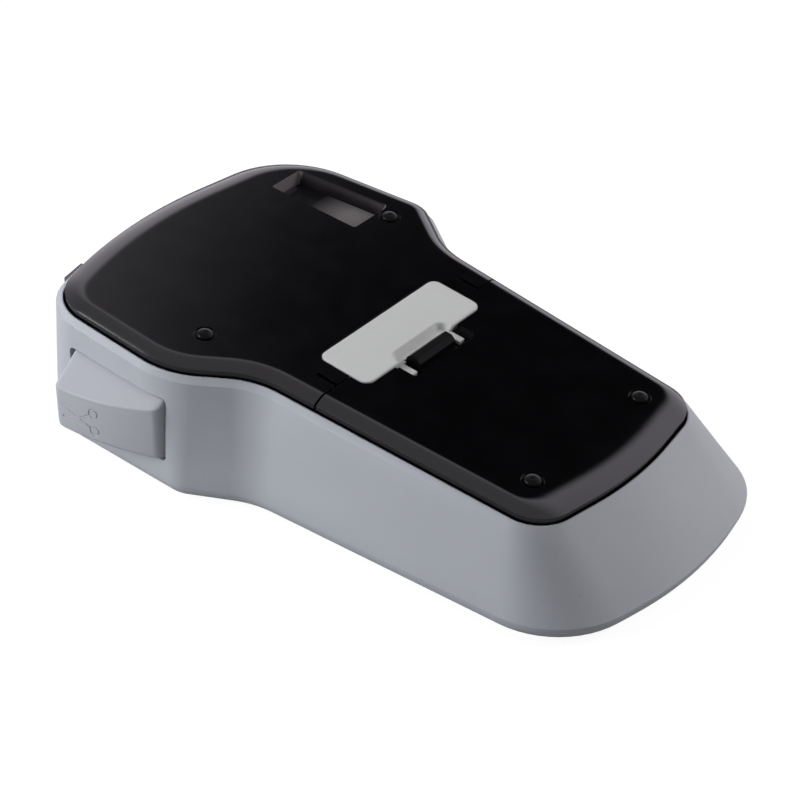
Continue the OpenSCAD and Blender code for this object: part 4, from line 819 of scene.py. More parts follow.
# Pane and lining carry painted light and shade: dark where the window lies in shadow, grey where light falls
# in.
WINDOW_SMOKED = SmokedWithPaintedLight("window_smoked", (0.004, 0.004, 0.005), 0.16, lit=(0.18, 0.165, 0.17), from_s=90.0,
                       to_s=78.0)
WINDOW_LINING = SmokedWithPaintedLight("window_smoked", (0.008, 0.006, 0.007), 0.2, part="lining", lit=(0.14, 0.125, 0.128),
                       from_s=100.2, to_s=100.9)
FOOT_BLACK = Moulded("foot_black", (0.004, 0.004, 0.004), 0.24, grain=0.5, depth=0.008, gloss=0.07)
LEVER_GREY = Moulded("lever_grey", (0.42, 0.425, 0.46), 0.46, grain=0.3, depth=0.006, clouds=0.02, specks=0.8,
                     gloss=0.25)
STEEL = Metal("steel", (0.62, 0.62, 0.64), 0.3)
BLADE_STEEL = Metal("blade_steel", (0.7, 0.71, 0.73), 0.22, stretch=(1.0, 1.0, 0.06))
MOUTH_DARK = Moulded("mouth_dark", (0.05, 0.045, 0.055), 0.45)
HEAD_CERAMIC = Moulded("head_ceramic", (0.62, 0.6, 0.52), 0.3, grain=0.2, depth=0.004)
PRESSED_STEEL = Metal("pressed_steel", (0.5, 0.51, 0.53), 0.38)
PLATEN_RUBBER = Moulded("platen_rubber", (0.02, 0.02, 0.02), 0.7, grain=0.2, depth=0.02)
GEAR_WHITE = Moulded("gear_white", (0.68, 0.66, 0.58), 0.42)
MOTOR_STEEL = Metal("motor_steel", (0.55, 0.55, 0.57), 0.28, stretch=(1.0, 1.0, 0.05))
PINION_BRASS = Metal("pinion_brass", (0.72, 0.54, 0.22), 0.3)
CASSETTE_WHITE = Moulded("cassette_white", (0.6, 0.6, 0.58), 0.4, coat=0.1)
TAPE_WHITE = Wound("tape_white", (0.78, 0.78, 0.75), 0.45)
RIBBON_DARK = Wound("ribbon_dark", (0.03, 0.03, 0.034), 0.3)
CELL_SLEEVE = Sleeve("cell_sleeve", (0.03, 0.032, 0.036), 0.3)
BOARD_GREEN = Board("board_green", (0.02, 0.12, 0.05), 0.4)
CHIP_BLACK = Moulded("chip_black", (0.02, 0.02, 0.022), 0.5, grain=0.15, depth=0.01)
LCD_GREY = Display("lcd_grey", (0.3, 0.34, 0.28), 0.25)
LENS_CLEAR = Clear("lens_clear", (0.9, 0.93, 0.93), 0.03)
FLEX_AMBER = Moulded("flex_amber", (0.45, 0.22, 0.04), 0.35, grain=1.0, depth=0.005, coat=0.3)
KEY_LIGHT = Moulded("key_light", (0.52, 0.53, 0.55), 0.5, grain=0.25, depth=0.01)
KEY_BLUE = Moulded("key_blue", (0.03, 0.14, 0.42), 0.45, grain=0.25, depth=0.01)
KEY_RED = Moulded("key_red", (0.42, 0.03, 0.03), 0.45, grain=0.25, depth=0.01)

NODE_FINISHES: dict[str, Finish] = {
    "front_cover": FRONT_CHARCOAL, "inner_frame": FRAME_DARK, "cutter_bracket": FRAME_DARK,
    "cutter_pivot_pin": STEEL, "cutter_return_spring": STEEL, "cutter_blade": BLADE_STEEL,
    "print_head": HEAD_CERAMIC, "print_head_bracket": PRESSED_STEEL, "platen_roller": PLATEN_RUBBER,
    "platen_shaft": STEEL, "platen_gear": GEAR_WHITE, "drive_motor": MOTOR_STEEL, "motor_shaft": STEEL,
    "motor_pinion": PINION_BRASS, "idler_gear": GEAR_WHITE, "idler_pin": STEEL, "takeup_spindle": GEAR_WHITE,
    "cassette_shell": CASSETTE_WHITE, "cassette_lid": CASSETTE_WHITE, "tape_roll": TAPE_WHITE,
    "ribbon_roll": RIBBON_DARK, "used_ribbon_roll": RIBBON_DARK, "label_tape": TAPE_WHITE,
    "batteries": CELL_SLEEVE, "battery_springs": STEEL, "battery_contacts": PRESSED_STEEL,
    "main_board": BOARD_GREEN, "board_chips": CHIP_BLACK, "board_screws": STEEL, "case_screws": STEEL,
    "lcd_panel": LCD_GREY, "display_lens": LENS_CLEAR, "lcd_flex": FLEX_AMBER, "power_inlet": CHIP_BLACK,
    "cassette_switch": CHIP_BLACK, "door_hinge_pins": STEEL, "keypad_mat": KEY_LIGHT,
    "ok_key": KEY_BLUE, "print_key": KEY_BLUE, "power_key": KEY_RED,
}


def dress(piece: Object, finish: Finish, body: str, *nodes: str) -> None:
    """Gives a piece its finish and the body it rides on.

    Args:
        piece: The new piece.
        finish: Its finish.
        body: The body that carries it.
        nodes: The nodes of the frame that it stands for.
    """
    piece.data.materials.clear()
    piece.data.materials.append(finish.material())
    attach(piece, body)
    if nodes:
        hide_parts(*nodes)
    LOG.info("%s rides on %s", piece.name, body)


class Assembly(ABC):
    """Part of the printer that builds its own pieces and dresses them."""

    @abstractmethod
    def build(self) -> None:
        """Makes the pieces and sets them on their bodies."""


BACK_OUTLINE = Outline((
    (-62.9, 112.1, 16.5), (-63.5, 62.3, 28.0), (-46.2, 40.6, 28.0), (-40.0, -64.6, 13.0), (0.0, -70.9, 120.0),
    (40.0, -64.6, 13.0), (46.2, 40.6, 28.0), (59.8, 60.6, 9.5), (50.5, 114.7, 31.0), (-18.3, 124.4, 157.0)))
BASE_OUTLINE = Outline((
    (-64.5, 116.3, 10.5), (-67.1, 57.5, 13.0), (-56.2, 35.5, 30.0), (-52.8, -82.0, 30.0), (1.9, -93.8, 120.0),
    (56.6, -82.0, 30.0), (56.2, 36.0, 30.0), (62.2, 57.0, 13.0), (53.2, 116.5, 33.0), (-18.3, 125.7, 157.0)))
EDGE_W = 4.7
HEAD_EDGE_W = 7.8
TAIL_EDGE_W = 9.5
SIDE_WIDTHS = (EDGE_W, EDGE_W, EDGE_W)
FLAT_OUTLINE = BACK_OUTLINE.drawn_in(
    (HEAD_EDGE_W, *SIDE_WIDTHS, TAIL_EDGE_W, TAIL_EDGE_W, *SIDE_WIDTHS, HEAD_EDGE_W))


@dataclass
class CaseWall(Assembly):
    """Light grey wall of the case, with the rim round the doors and the holes for lever, tape and plug."""

    wall: float = 2.2
    front_r: float = 6.0
    front_lip: float = 2.5
    flange_h: float = 2.4
    rim_t: float = 2.2
    rim_depth: float = 4.3
    rim_slant: float = 1.8
    rim_run: float = 2.0
    door_gap: float = 0.6
    round_steps: int = 8
    wall_steps: int = 6
    edge_r: float = 0.22
    edge_steps: int = 3
    edge_angle: float = 28.0
    slot: Outline = Outline(((61.6, 13.0, 1.6), (102.8, 13.0, 1.6), (102.8, 38.5, 2.2), (61.6, 35.9, 2.2)), 6)
    slot_x: Point = (-80.0, -61.0)
    exit_low: Triple = (-47.475, 111.0, 25.24)
    exit_high: Triple = (-38.875, 135.0, 42.59)
    jack: Triple = (52.3, 72.0, 13.0)
    jack_r: float = 4.3
    jack_run: float = 14.0

    def rings(self) -> list[Ring]:
        """Lists the rings from the front's edge up the wall, over the rim and down inside.

        Returns:
            The rings, in order.
        """
        r = self.front_r
        front = [BASE_OUTLINE.ring(-r * (1 - math.sin(g)), r * (1 - math.cos(g)), at)
                 for g in quarter(self.round_steps)]
        out = self.door_gap + self.rim_t
        under_rim = -self.rim_depth - self.rim_slant
        rim = [BACK_OUTLINE.ring(out, under_rim), BACK_OUTLINE.ring(out - self.rim_slant, -self.rim_depth)]
        shares = [k / self.wall_steps for k in range(1, self.wall_steps)]
        side = [[a.lerp(b, t) for a, b in zip(front[-1], rim[0])] for t in shares]
        inset = r + self.front_lip
        inner = [
            BACK_OUTLINE.ring(self.door_gap, -self.rim_depth),
            BACK_OUTLINE.ring(self.door_gap, under_rim - self.rim_run),
            BASE_OUTLINE.ring(-self.wall, r + self.rim_run, at),
            BASE_OUTLINE.ring(-inset, self.flange_h, at),
            BASE_OUTLINE.ring(-inset, 0.0, at),
        ]
        return front + side + rim + inner

    def build(self) -> None:
        """Skins the rings, cuts the holes and dresses the wall."""
        shell = looped("case_wall", self.rings())
        slot = prism("slot_tool", self.slot.points(), *self.slot_x, facing_left)
        mouth = block("mouth_tool", self.exit_low, self.exit_high)
        plug = rod("plug_tool", self.jack, self.jack[0] + self.jack_run, self.jack_r)
        outwards(carve(shell, [slot, mouth, plug]), self.edge_angle)
        dress(soften(shell, self.edge_r, self.edge_steps, self.edge_angle), CASE_GREY, "case", "rear_case")


@dataclass
class Door:
    """Hollow shell of a door on one side of the line between the doors."""

    name: str
    cut: float
    side: int
    edge_h: float = 2.2
    skirt: float = 4.5
    plate: float = 2.0
    wall: float = 2.0
    steps: int = 12
    flat_border: float = 0.6

    def kept(self, points: list[Point], depth: float, cut: float) -> Ring:
        """Places the door's side of an outline at a height above the back."""
        return [on_back(x, s, depth) for x, s in clipped(points, cut, self.side)]

    def edge_ring(self, share: float) -> Ring:
        """Gives one ring of the rounded edge.

        Args:
            share: How far in it lies, as a share of the edge's width.

        Returns:
            The ring's points.
        """
        pairs = zip(BACK_OUTLINE.points(), FLAT_OUTLINE.points())
        points = [(a[0] + (b[0] - a[0]) * share, a[1] + (b[1] - a[1]) * share) for a, b in pairs]
        return self.kept(points, -self.edge_h * (1 - share) ** 2, self.cut)

    def shell(self) -> Object:
        """Skins the door from its inner ceiling round its edge to its flat top.

        Returns:
            The closed shell.
        """
        inner, outer = BACK_OUTLINE.points(-self.wall), BACK_OUTLINE.points()
        inner_cut = self.cut + self.side * self.wall
        border_cut = self.cut + self.side * self.flat_border
        return closed(self.name, [
            self.kept(inner, -self.plate, inner_cut),
            self.kept(inner, -self.skirt, inner_cut),
            self.kept(outer, -self.skirt, self.cut),
            self.kept(outer, -self.edge_h, self.cut),
            *(self.edge_ring(k / self.steps) for k in range(1, self.steps + 1)),
            self.kept(FLAT_OUTLINE.points(-self.flat_border), 0.0, border_cut),
        ])


@dataclass(frozen=True)
class Feet:
    """Pair of domed feet in ring-shaped recesses."""

    x: float
    s: float
    ring_r: float = 3.6
    ring_sides: int = 48
    foot_r: float = 2.7
    stem_in: float = 0.15
    recess: float = 0.8
    proud: float = 1.2
    lift: float = 0.4
    brim: float = 0.1
    steps: int = 10
    smooth: float = 50.0

    def recesses(self) -> list[Object]:
        """Makes the tools that cut the recesses."""
        rings = [circle(side * self.x, self.s, self.ring_r, self.ring_sides) for side in (-1, 1)]
        return [prism("recess_tool", ring, -self.recess, TOOL_HIGH, on_back) for ring in rings]

    def domes(self, name: str) -> Object:
        """Makes both feet, each a short stem under a round cap.

        Args:
            name: Name of the piece.

        Returns:
            One object with both feet.
        """
        stem_r = self.foot_r - self.stem_in
        low = self.brim - self.lift
        rings = [(stem_r, -self.recess), (stem_r, -self.lift), (self.foot_r, low)]
        for g in quarter(self.steps, 1)[:-1]:
            rings.append((self.foot_r * math.cos(g), low + (self.proud - low) * math.sin(g)))
        pieces = []
        for side in (-1, 1):
            placed = [[on_back(x, s, d) for x, s in circle(side * self.x, self.s, r)] for r, d in rings]
            pieces.append(closed(name, placed, self.smooth))
        return joined(name, pieces)


HEAD_FEET = Feet(44.9, 63.5)
TAIL_FEET = Feet(27.3, -51.4)
TAB_OUTLINE = rectangle(-28.3, 11.6, 28.3, 31.4, 3.0)
TAB_GAP = 0.5
PLATE_LOW = -1.95
DOOR_EDGE_R = 0.18


def tab_tool() -> Object:
    """Makes the tool that cuts the tab's place out of a door."""
    return prism("tab_tool", TAB_OUTLINE.points(TAB_GAP), TOOL_LOW, TOOL_HIGH, on_back)


@dataclass
class Hinge:
    """Knuckles of a door on its hinge axis, and the room for the lugs of the frame beside them."""

    s: float
    starts: Point
    lugs: Point
    depth: float = 3.2
    radius: float = 2.2
    width: float = 4.6
    bore: float = 1.26
    lug_w: float = 3.6
    lug_r: float = 2.0
    lug_gap: float = 0.3

    def across(self, name: str, x0: float, x1: float, r: float) -> Object:
        """Makes a rod on the hinge axis."""
        return rod(name, (x0, self.s, -self.depth), x1, r, on_back)

    def knuckles(self, name: str) -> Object:
        """Makes the knuckles, each a block under the plate with a round end and a bore.

        Args:
            name: Name of the piece.

        Returns:
            One object with all knuckles.
        """
        pieces = []
        for x in self.starts:
            end = x + self.width
            knuckle = self.across(name, x, end, self.radius)
            low = (x, self.s - self.radius, -self.depth)
            foot = block("foot_tool", low, (end, self.s + self.radius, PLATE_LOW), on_back)
            carve(knuckle, [foot], Carve.FUSE)
            carve(knuckle, [self.across("bore_tool", x - TOOL_PAST, end + TOOL_PAST, self.bore)])
            pieces.append(outwards(knuckle))
        return joined(name, pieces)

    def lug_tools(self) -> list[Object]:
        """Makes the tools that give the frame's lugs their room."""
        ends = [(x - self.lug_gap, x + self.lug_w + self.lug_gap) for x in self.lugs]
        return [self.across("lug_tool", x0, x1, self.lug_r) for x0, x1 in ends]


@dataclass
class CassetteDoor(Assembly):
    """Black door over the cassette, with its sunk window, snap slits, feet and hinge knuckles."""

    door: Door = field(default_factory=lambda: Door("cassette_door_shell", 18.45, 1))
    hinge: Hinge = field(default_factory=lambda: Hinge(107.0, (-20.1, 31.9), (-24.0, 28.0)))
    window: Outline = Outline((
        (31.6, 67.4, 1.3), (49.2, 67.4, 1.3), (43.4, 102.4, 1.3), (29.4, 102.4, 1.3)), 8)
    low_corner: float = 0.7
    lining_t: float = 0.3
    lining_drop: float = 0.25
    lining_gap: float = 0.02
    window_depth: float = 4.2
    lean: float = 1.5
    tool_lean: float = 1.875
    tool_grow: float = 0.1
    tool_rise: float = 0.4
    frame_wall: float = 1.2
    pane_t: float = 1.0
    pane_gap: float = 0.1
    slit_x: float = 34.9
    slit_w: float = 1.5
    slit_l: float = 8.0

    def ring(self, inset: float, depth: float) -> Ring:
        """Gives the window's outline drawn in and at a depth."""
        radius = self.low_corner if inset > 0 else self.window.corners[0][2]
        return self.window.inset(inset, radius).ring(0.0, -depth)

    def window_frame(self) -> Object:
        """Makes the sunk block round the window."""
        low = self.ring(self.lean - self.frame_wall, self.window_depth + BITE)
        return closed("frame_tool", [low, self.ring(-self.frame_wall, self.door.plate - BITE)])

    def opening(self) -> Object:
        """Makes the tool that cuts the window's leaning walls."""
        low = self.ring(self.tool_lean, self.window_depth + TOOL_PAST)
        return closed("window_tool", [low, self.ring(-self.tool_grow, -self.tool_rise)])

    def lining(self) -> Object:
        """Makes the smoked lining that runs down the window's walls to the pane.

        Returns:
            The lining.
        """
        foot, t = self.lean + self.lining_gap, self.lining_t
        top, low = self.lining_drop, self.window_depth
        edges = ((0.0, top), (foot, low), (foot + t, low), (t, top))
        return looped("window_lining", [self.ring(inset, depth) for inset, depth in edges])

    def slit(self, x: float) -> Object:
        """Makes the tool of one snap slit."""
        low = (x - self.slit_w / 2, self.door.cut - TOOL_PAST, TOOL_LOW)
        return block("slit_tool", low, (x + self.slit_w / 2, self.door.cut + self.slit_l, TOOL_HIGH), on_back)

    def build(self) -> None:
        """Builds the door, its knuckles, its feet and its pane."""
        shell = carve(self.door.shell(), [self.window_frame()], Carve.FUSE)
        slits = [self.slit(side * self.slit_x) for side in (-1, 1)]
        carve(shell, [self.opening(), tab_tool(), *slits, *self.hinge.lug_tools(), *HEAD_FEET.recesses()])
        outwards(shell, CUT_ANGLE)
        dress(soften(shell, DOOR_EDGE_R), DOOR_BLACK, "cassette_door", "cassette_door")
        dress(self.hinge.knuckles("cassette_door_knuckles"), DOOR_BLACK, "cassette_door")
        dress(HEAD_FEET.domes("cassette_door_domes"), FOOT_BLACK, "cassette_door", "cassette_door_feet")
        top = -self.window_depth - BITE
        edge = self.window.inset(self.lean - self.frame_wall + self.pane_gap, self.low_corner).points()
        pane = prism("window_glass", edge, top - self.pane_t, top, on_back)
        dress(pane, WINDOW_SMOKED, "cassette_door", "window_pane")
        dress(self.lining(), WINDOW_LINING, "cassette_door")


@dataclass
class BatteryDoor(Assembly):
    """Black door over the batteries, with its latch, its feet and its hinge knuckles."""

    door: Door = field(default_factory=lambda: Door("battery_door_shell", 17.75, -1))
    hinge: Hinge = field(default_factory=lambda: Hinge(-59.5, (-24.9, 20.3), (-28.8, 25.2)))
    recess: Outline = rectangle(-15.4, 3.6, 15.4, 16.0, 2.2)
    recess_depth: float = 1.1
    well: Outline = rectangle(-13.4, 4.3, 13.4, 16.0, 1.2)
    latch_half_w: float = 8.7
    latch_s: Point = (6.6, 12.0)
    latch_d: Point = (-3.4, 1.2)
    latch_edge_r: float = 0.16
    latch_foot_s: float = 1.2
    latch_foot_t: float = 1.2
    chamfer: float = 1.45
    rail_gap: float = 0.3
    rail_w: float = 1.2
    rail_s: Point = (-0.4, 3.6)
    rail_low: float = -4.6
    rail_edge_r: float = 0.12
    lip_w: float = 1.8
    lip_top: float = -3.6

    def cuts(self) -> list[Object]:
        """Makes the tools for the tab, the latch's recess, the lugs and the feet.

        Returns:
            The tools, in the order of their use.
        """
        recess = prism("recess_tool", self.recess.points(), -self.recess_depth, TOOL_HIGH, on_back)
        well = prism("well_tool", self.well.points(), TOOL_LOW, TOOL_HIGH, on_back)
        return [tab_tool(), recess, well, *self.hinge.lug_tools(), *TAIL_FEET.recesses()]

    def latch(self) -> Object:
        """Makes the latch: a bar with chamfered long edges on a plate that runs under the door.

        Returns:
            The latch.
        """
        (s0, s1), (low, top), c, half = self.latch_s, self.latch_d, self.chamfer, self.latch_half_w
        section = [(s0, low), (s1, low), (s1, top - c), (s1 - c, top), (s0 + c, top), (s0, top - c)]
        bar = closed("latch_bar", [[on_back(x, s, d) for s, d in section] for x in (-half, half)])
        high = (half, s0 + BITE, low + self.latch_foot_t)
        foot = block("latch_foot", (-half, self.latch_foot_s, low), high, on_back)
        return soften(carve(bar, [foot], Carve.FUSE), self.latch_edge_r)

    def rails(self) -> Object:
        """Makes the two rails that guide the latch's plate.

        Returns:
            One object with both rails.
        """
        pieces = []
        s0, s1 = self.rail_s
        near = self.latch_half_w + self.rail_gap
        far = near + self.rail_w
        low = self.rail_low
        for side in (-1, 1):
            wall = block("latch_rails", (side * near, s0, low), (side * far, s1, PLATE_LOW), on_back)
            start = (side * (near - self.lip_w), s0, low)
            lip = block("lip_tool", start, (side * far, s1, self.lip_top), on_back)
            pieces.append(soften(carve(wall, [lip], Carve.FUSE), self.rail_edge_r))
        return joined("latch_rails", pieces)

    def build(self) -> None:
        """Builds the door, its knuckles, rails, feet and latch."""
        shell = outwards(carve(self.door.shell(), self.cuts()), CUT_ANGLE)
        dress(soften(shell, DOOR_EDGE_R), DOOR_BLACK, "battery_door", "battery_door")
        dress(self.hinge.knuckles("battery_door_knuckles"), DOOR_BLACK, "battery_door")
        dress(self.rails(), DOOR_BLACK, "battery_door")
        dress(TAIL_FEET.domes("battery_door_domes"), FOOT_BLACK, "battery_door", "battery_door_feet")
        dress(self.latch(), LATCH_BLACK, "battery_latch", "battery_latch")


@dataclass
class CentreTab(Assembly):
    """Light tab between the doors, with a soft finger scoop and two prongs beside the latch."""

    low: float = -3.0
    top: float = 0.3
    edge_r: float = 0.55
    border: float = 0.3
    steps: int = 5
    scoop: Outline = rectangle(-11.3, 0.0, 11.3, 14.6, 1.6, 10)
    scoop_floor: float = -1.6
    scoop_run: float = 1.9
    scoop_steps: int = 10
    scoop_past: float = 0.02
    prong_x: Point = (10.4, 13.0)
    prong_s: Point = (6.0, 12.4)
    prong_drop: float = 0.01
    prong_edge_r: float = 0.25
    prong_edge_steps: int = 3
    slot_low: Triple = (-9.3, 10.6, -4.0)
    slot_high: Triple = (9.3, 12.6, 1.0)

    def scoop_tool(self) -> Object:
        """Makes the tool of the scoop, whose wall runs out softly into floor and top.

        Returns:
            The closed tool.
        """
        rings = []
        for t in [k / self.scoop_steps for k in range(self.scoop_steps + 1)]:
            rise = (self.top - self.scoop_floor) * t * t * (3 - 2 * t)
            rings.append(self.scoop.ring(self.scoop_run * t, self.scoop_floor + rise))
        rings.append(self.scoop.ring(self.scoop_run + self.scoop_past, self.top + TOOL_PAST))
        return closed("scoop_tool", rings)

    def plate(self) -> Object:
        """Makes the plate with its rounded edge.

        Returns:
            The closed plate.
        """
        r = self.edge_r
        rings = [TAB_OUTLINE.ring(0.0, self.low), TAB_OUTLINE.ring(0.0, self.top - r)]
        for g in quarter(self.steps, 1):
            rings.append(TAB_OUTLINE.ring(-r * (1 - math.cos(g)), self.top - r * (1 - math.sin(g))))
        rings.append(TAB_OUTLINE.ring(-r - self.border, self.top))
        return closed("tab_plate", rings)

    def prong(self, side: int) -> Object:
        """Makes the prong on one side.

        Args:
            side: 1 for the right one, -1 for the left one.

        Returns:
            The prong.
        """
        low = (side * self.prong_x[0], self.prong_s[0], self.low)
        high = (side * self.prong_x[1], self.prong_s[1], self.scoop_floor - self.prong_drop)
        return soften(block("tab_prongs", low, high, on_back), self.prong_edge_r, self.prong_edge_steps)

    def build(self) -> None:
        """Builds the plate, cuts the scoop and the latch's slot and adds the prongs."""
        slot = block("slot_tool", self.slot_low, self.slot_high, on_back)
        plate = outwards(carve(self.plate(), [self.scoop_tool(), slot]), CUT_ANGLE)
        dress(levelled(plate), TAB_LIGHT, "case", "centre_tab")
        dress(joined("tab_prongs", [self.prong(side) for side in (-1, 1)]), TAB_LIGHT, "case")


def through(a: float, b: float, c: float, t: float) -> float:
    """Gives the value on the curve through three evenly spaced values."""
    return a * (1 - t) * (1 - 2 * t) + 4 * b * t * (1 - t) + c * t * (2 * t - 1)


def drop(r: float, run: float) -> float:
    """Gives how far a round edge has dropped at a distance from its end."""
    return r - math.sqrt(r ** 2 - max(0.0, r - run) ** 2)


@dataclass
class CutterLever(Assembly):
    """Grey cutter lever in the left wall, with its engraved scissors and the arm of its blade."""

    y0: float = 62.2
    y1: float = 100.6
    z0: float = 13.6
    inner_x: float = 62.8
    ledge: float = 2.4
    out: Triple = (67.9, 73.9, 76.0)
    edge: Triple = (32.8, 30.4, 30.1)
    top: Point = (35.3, 37.9)
    corner_r: float = 1.0
    low_r: Point = (1.5, 1.3)
    corner_steps: int = 6
    end_r: float = 0.8
    pivot_end_r: float = 2.6
    pivot_steps: int = 8
    press_end_r: float = 2.4
    press_steps: int = 10
    steps: int = 30
    smooth: float = 32.0
    line_r: float = 0.26
    line_sides: int = 10
    loop_r: float = 1.6
    loop_sides: int = 28
    loops: tuple[Point, ...] = ((84.7, 25.0), (84.6, 18.6))
    cross: Point = (90.4, 21.6)
    tips: tuple[Point, ...] = ((97.0, 19.8), (97.3, 24.3))
    shank_steps: int = 6
    blade_steps: int = 8
    pivot: Point = (-58.8, 69.5)
    barrel_r: float = 3.0
    barrel_h: float = 4.0
    barrel_z: Point = (14.2, 30.3)
    bore_r: float = 1.56
    web_past: float = 0.5
    arm_z: Point = (14.2, 17.2)
    arm_edge_r: float = 0.2
    arm_outline: tuple[Point, ...] = (
        (-63.8, 88.6), (-61.3, 88.6), (-53.0, 102.5), (-50.4, 104.5), (-50.4, 106.5), (-55.0, 106.5),
        (-63.8, 99.6))

    def share(self, y: float) -> float:
        """Gives how far along the lever a place lies."""
        return (y - self.y0) / (self.y1 - self.y0)

    def out_at(self, y: float) -> float:
        """Gives how far left the outer face lies at a place along the lever."""
        return through(*self.out, self.share(y))

    def section(self, y: float) -> Ring:
        """Gives the lever's section at a place along it, drawn in at the ends.

        Args:
            y: The place.

        Returns:
            The section's points.
        """
        t = self.share(y)
        inset = drop(self.end_r, min(y - self.y0, self.y1 - y))
        drawn = max(0.0, drop(self.pivot_end_r, y - self.y0) - inset)
        lifted = max(0.0, drop(self.press_end_r, self.y1 - y) - inset)
        out = self.out_at(y) - drawn - lifted
        low = self.z0 + lifted
        top = self.top[0] + (self.top[1] - self.top[0]) * t
        x, r = -self.inner_x, self.corner_r
        corners = ((x, low, r), (x, top, r), (x - self.ledge, top, r), (-out, through(*self.edge, t), r),
                   (-out, low, self.low_r[0] + self.low_r[1] * t))
        return [at(x, y, z) for x, z in Outline(corners, self.corner_steps).points(-inset)]

    def wedge(self) -> Object:
        """Skins the wedge from its pivot end to its pressed end.

        Returns:
            The closed wedge.
        """
        places = [self.y0 + self.pivot_end_r * (1 - math.cos(g)) for g in quarter(self.pivot_steps)]
        first = places[-1]
        last = self.y1 - self.press_end_r
        places += [first + (last - first) * k / self.steps for k in range(1, self.steps + 1)]
        places += [last + self.press_end_r * math.sin(g) for g in quarter(self.press_steps, 1)]
        return closed("lever_wedge", [self.section(y) for y in places], self.smooth)

    def groove(self, path: list[Point], round_trip: bool) -> Object:
        """Makes a round tool along a path on the outer face.

        Args:
            path: Places along the lever and above the front.
            round_trip: Whether the path joins its own start.

        Returns:
            The closed tool.
        """
        rings = []
        for i, (y, z) in enumerate(path):
            before = path[i - 1] if round_trip or i else path[i]
            after = path[(i + 1) % len(path)] if round_trip or i + 1 < len(path) else path[i]
            run = Vector((after[0] - before[0], after[1] - before[1])).normalized()
            across = circle(0.0, 0.0, self.line_r, self.line_sides)
            rings.append([at(-self.out_at(y) - q, y - run.y * p, z + run.x * p) for p, q in across])
        return looped("groove_tool", rings) if round_trip else closed("groove_tool", rings)

    def scissors(self) -> list[Object]:
        """Makes the tools that engrave a pair of open scissors.

        Returns:
            The tools.
        """
        tools = []
        cross = Vector(self.cross)
        for loop, tip in zip(self.loops, self.tips):
            start = Vector(loop)
            begin = start + (cross - start).normalized() * self.loop_r
            end = Vector(tip)
            shank = [tuple(begin.lerp(cross, k / self.shank_steps)) for k in range(self.shank_steps)]
            blade = [tuple(cross.lerp(end, k / self.blade_steps)) for k in range(self.blade_steps + 1)]
            tools.append(self.groove(circle(*loop, self.loop_r, self.loop_sides), True))
            tools.append(self.groove(shank + blade, False))
        return tools

    def barrel(self, z: float) -> Object:
        """Makes one barrel on the pivot, with the web that holds it.

        Args:
            z: Height of its underside.

        Returns:
            The barrel.
        """
        x, y = self.pivot
        r, top = self.barrel_r, z + self.barrel_h
        barrel = prism("lever_arm", circle(x, y, r), z, top)
        web = block("web_tool", (-self.inner_x - self.web_past, y - r, z), (x, y + r, top))
        carve(barrel, [web], Carve.FUSE)
        carve(barrel, [prism("bore_tool", circle(x, y, self.bore_r), z - TOOL_PAST, top + TOOL_PAST)])
        return outwards(barrel)

    def arm(self) -> Object:
        """Makes the barrels on the pivot and the arm that carries the blade."""
        plate = soften(prism("arm_plate", list(self.arm_outline), *self.arm_z), self.arm_edge_r)
        return joined("lever_arm", [*(self.barrel(z) for z in self.barrel_z), plate])

    def build(self) -> None:
        """Builds the wedge, engraves it and adds the arm."""
        wedge = outwards(carve(self.wedge(), self.scissors()), self.smooth)
        dress(wedge, LEVER_GREY, "cutter", "cutter_lever")
        dress(self.arm(), LEVER_GREY, "cutter")


@dataclass
class TapeMouth(Assembly):
    """Dark mouth of the tape exit: a sleeve through the end wall and a collar outside it."""

    edge_r: float = 0.35
    edge_steps: int = 3

    def build(self) -> None:
        """Copies the frame's mouth, merges it and rounds its edges."""
        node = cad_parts["tape_exit_mouth"]
        piece = bpy.data.objects.new("tape_mouth", node.data.copy())
        bpy.context.scene.collection.objects.link(piece)
        outwards(piece)
        dress(soften(piece, self.edge_r, self.edge_steps), MOUTH_DARK, "case", "tape_exit_mouth")


@dataclass(frozen=True)
class Lamp:
    """Soft round lamp that looks at the printer, with its size in metres and its power in watts."""

    name: str
    place: Triple
    size: float
    power: float
    colour: Triple
    mirrored: bool = False
    aim: Triple = (0.0, 0.0, 30.0)

    def build(self) -> None:
        """Adds the lamp to the scene."""
        data = bpy.data.lights.new(self.name, "AREA")
        data.shape = "DISK"
        data.size = self.size
        data.energy = self.power
        data.color = self.colour
        lamp = bpy.data.objects.new(self.name, data)
        lamp.location = at(*self.place)
        lamp.rotation_euler = (lamp.location - at(*self.aim)).to_track_quat("Z", "Y").to_euler()
        lamp.visible_glossy = self.mirrored
        bpy.context.scene.collection.objects.link(lamp)


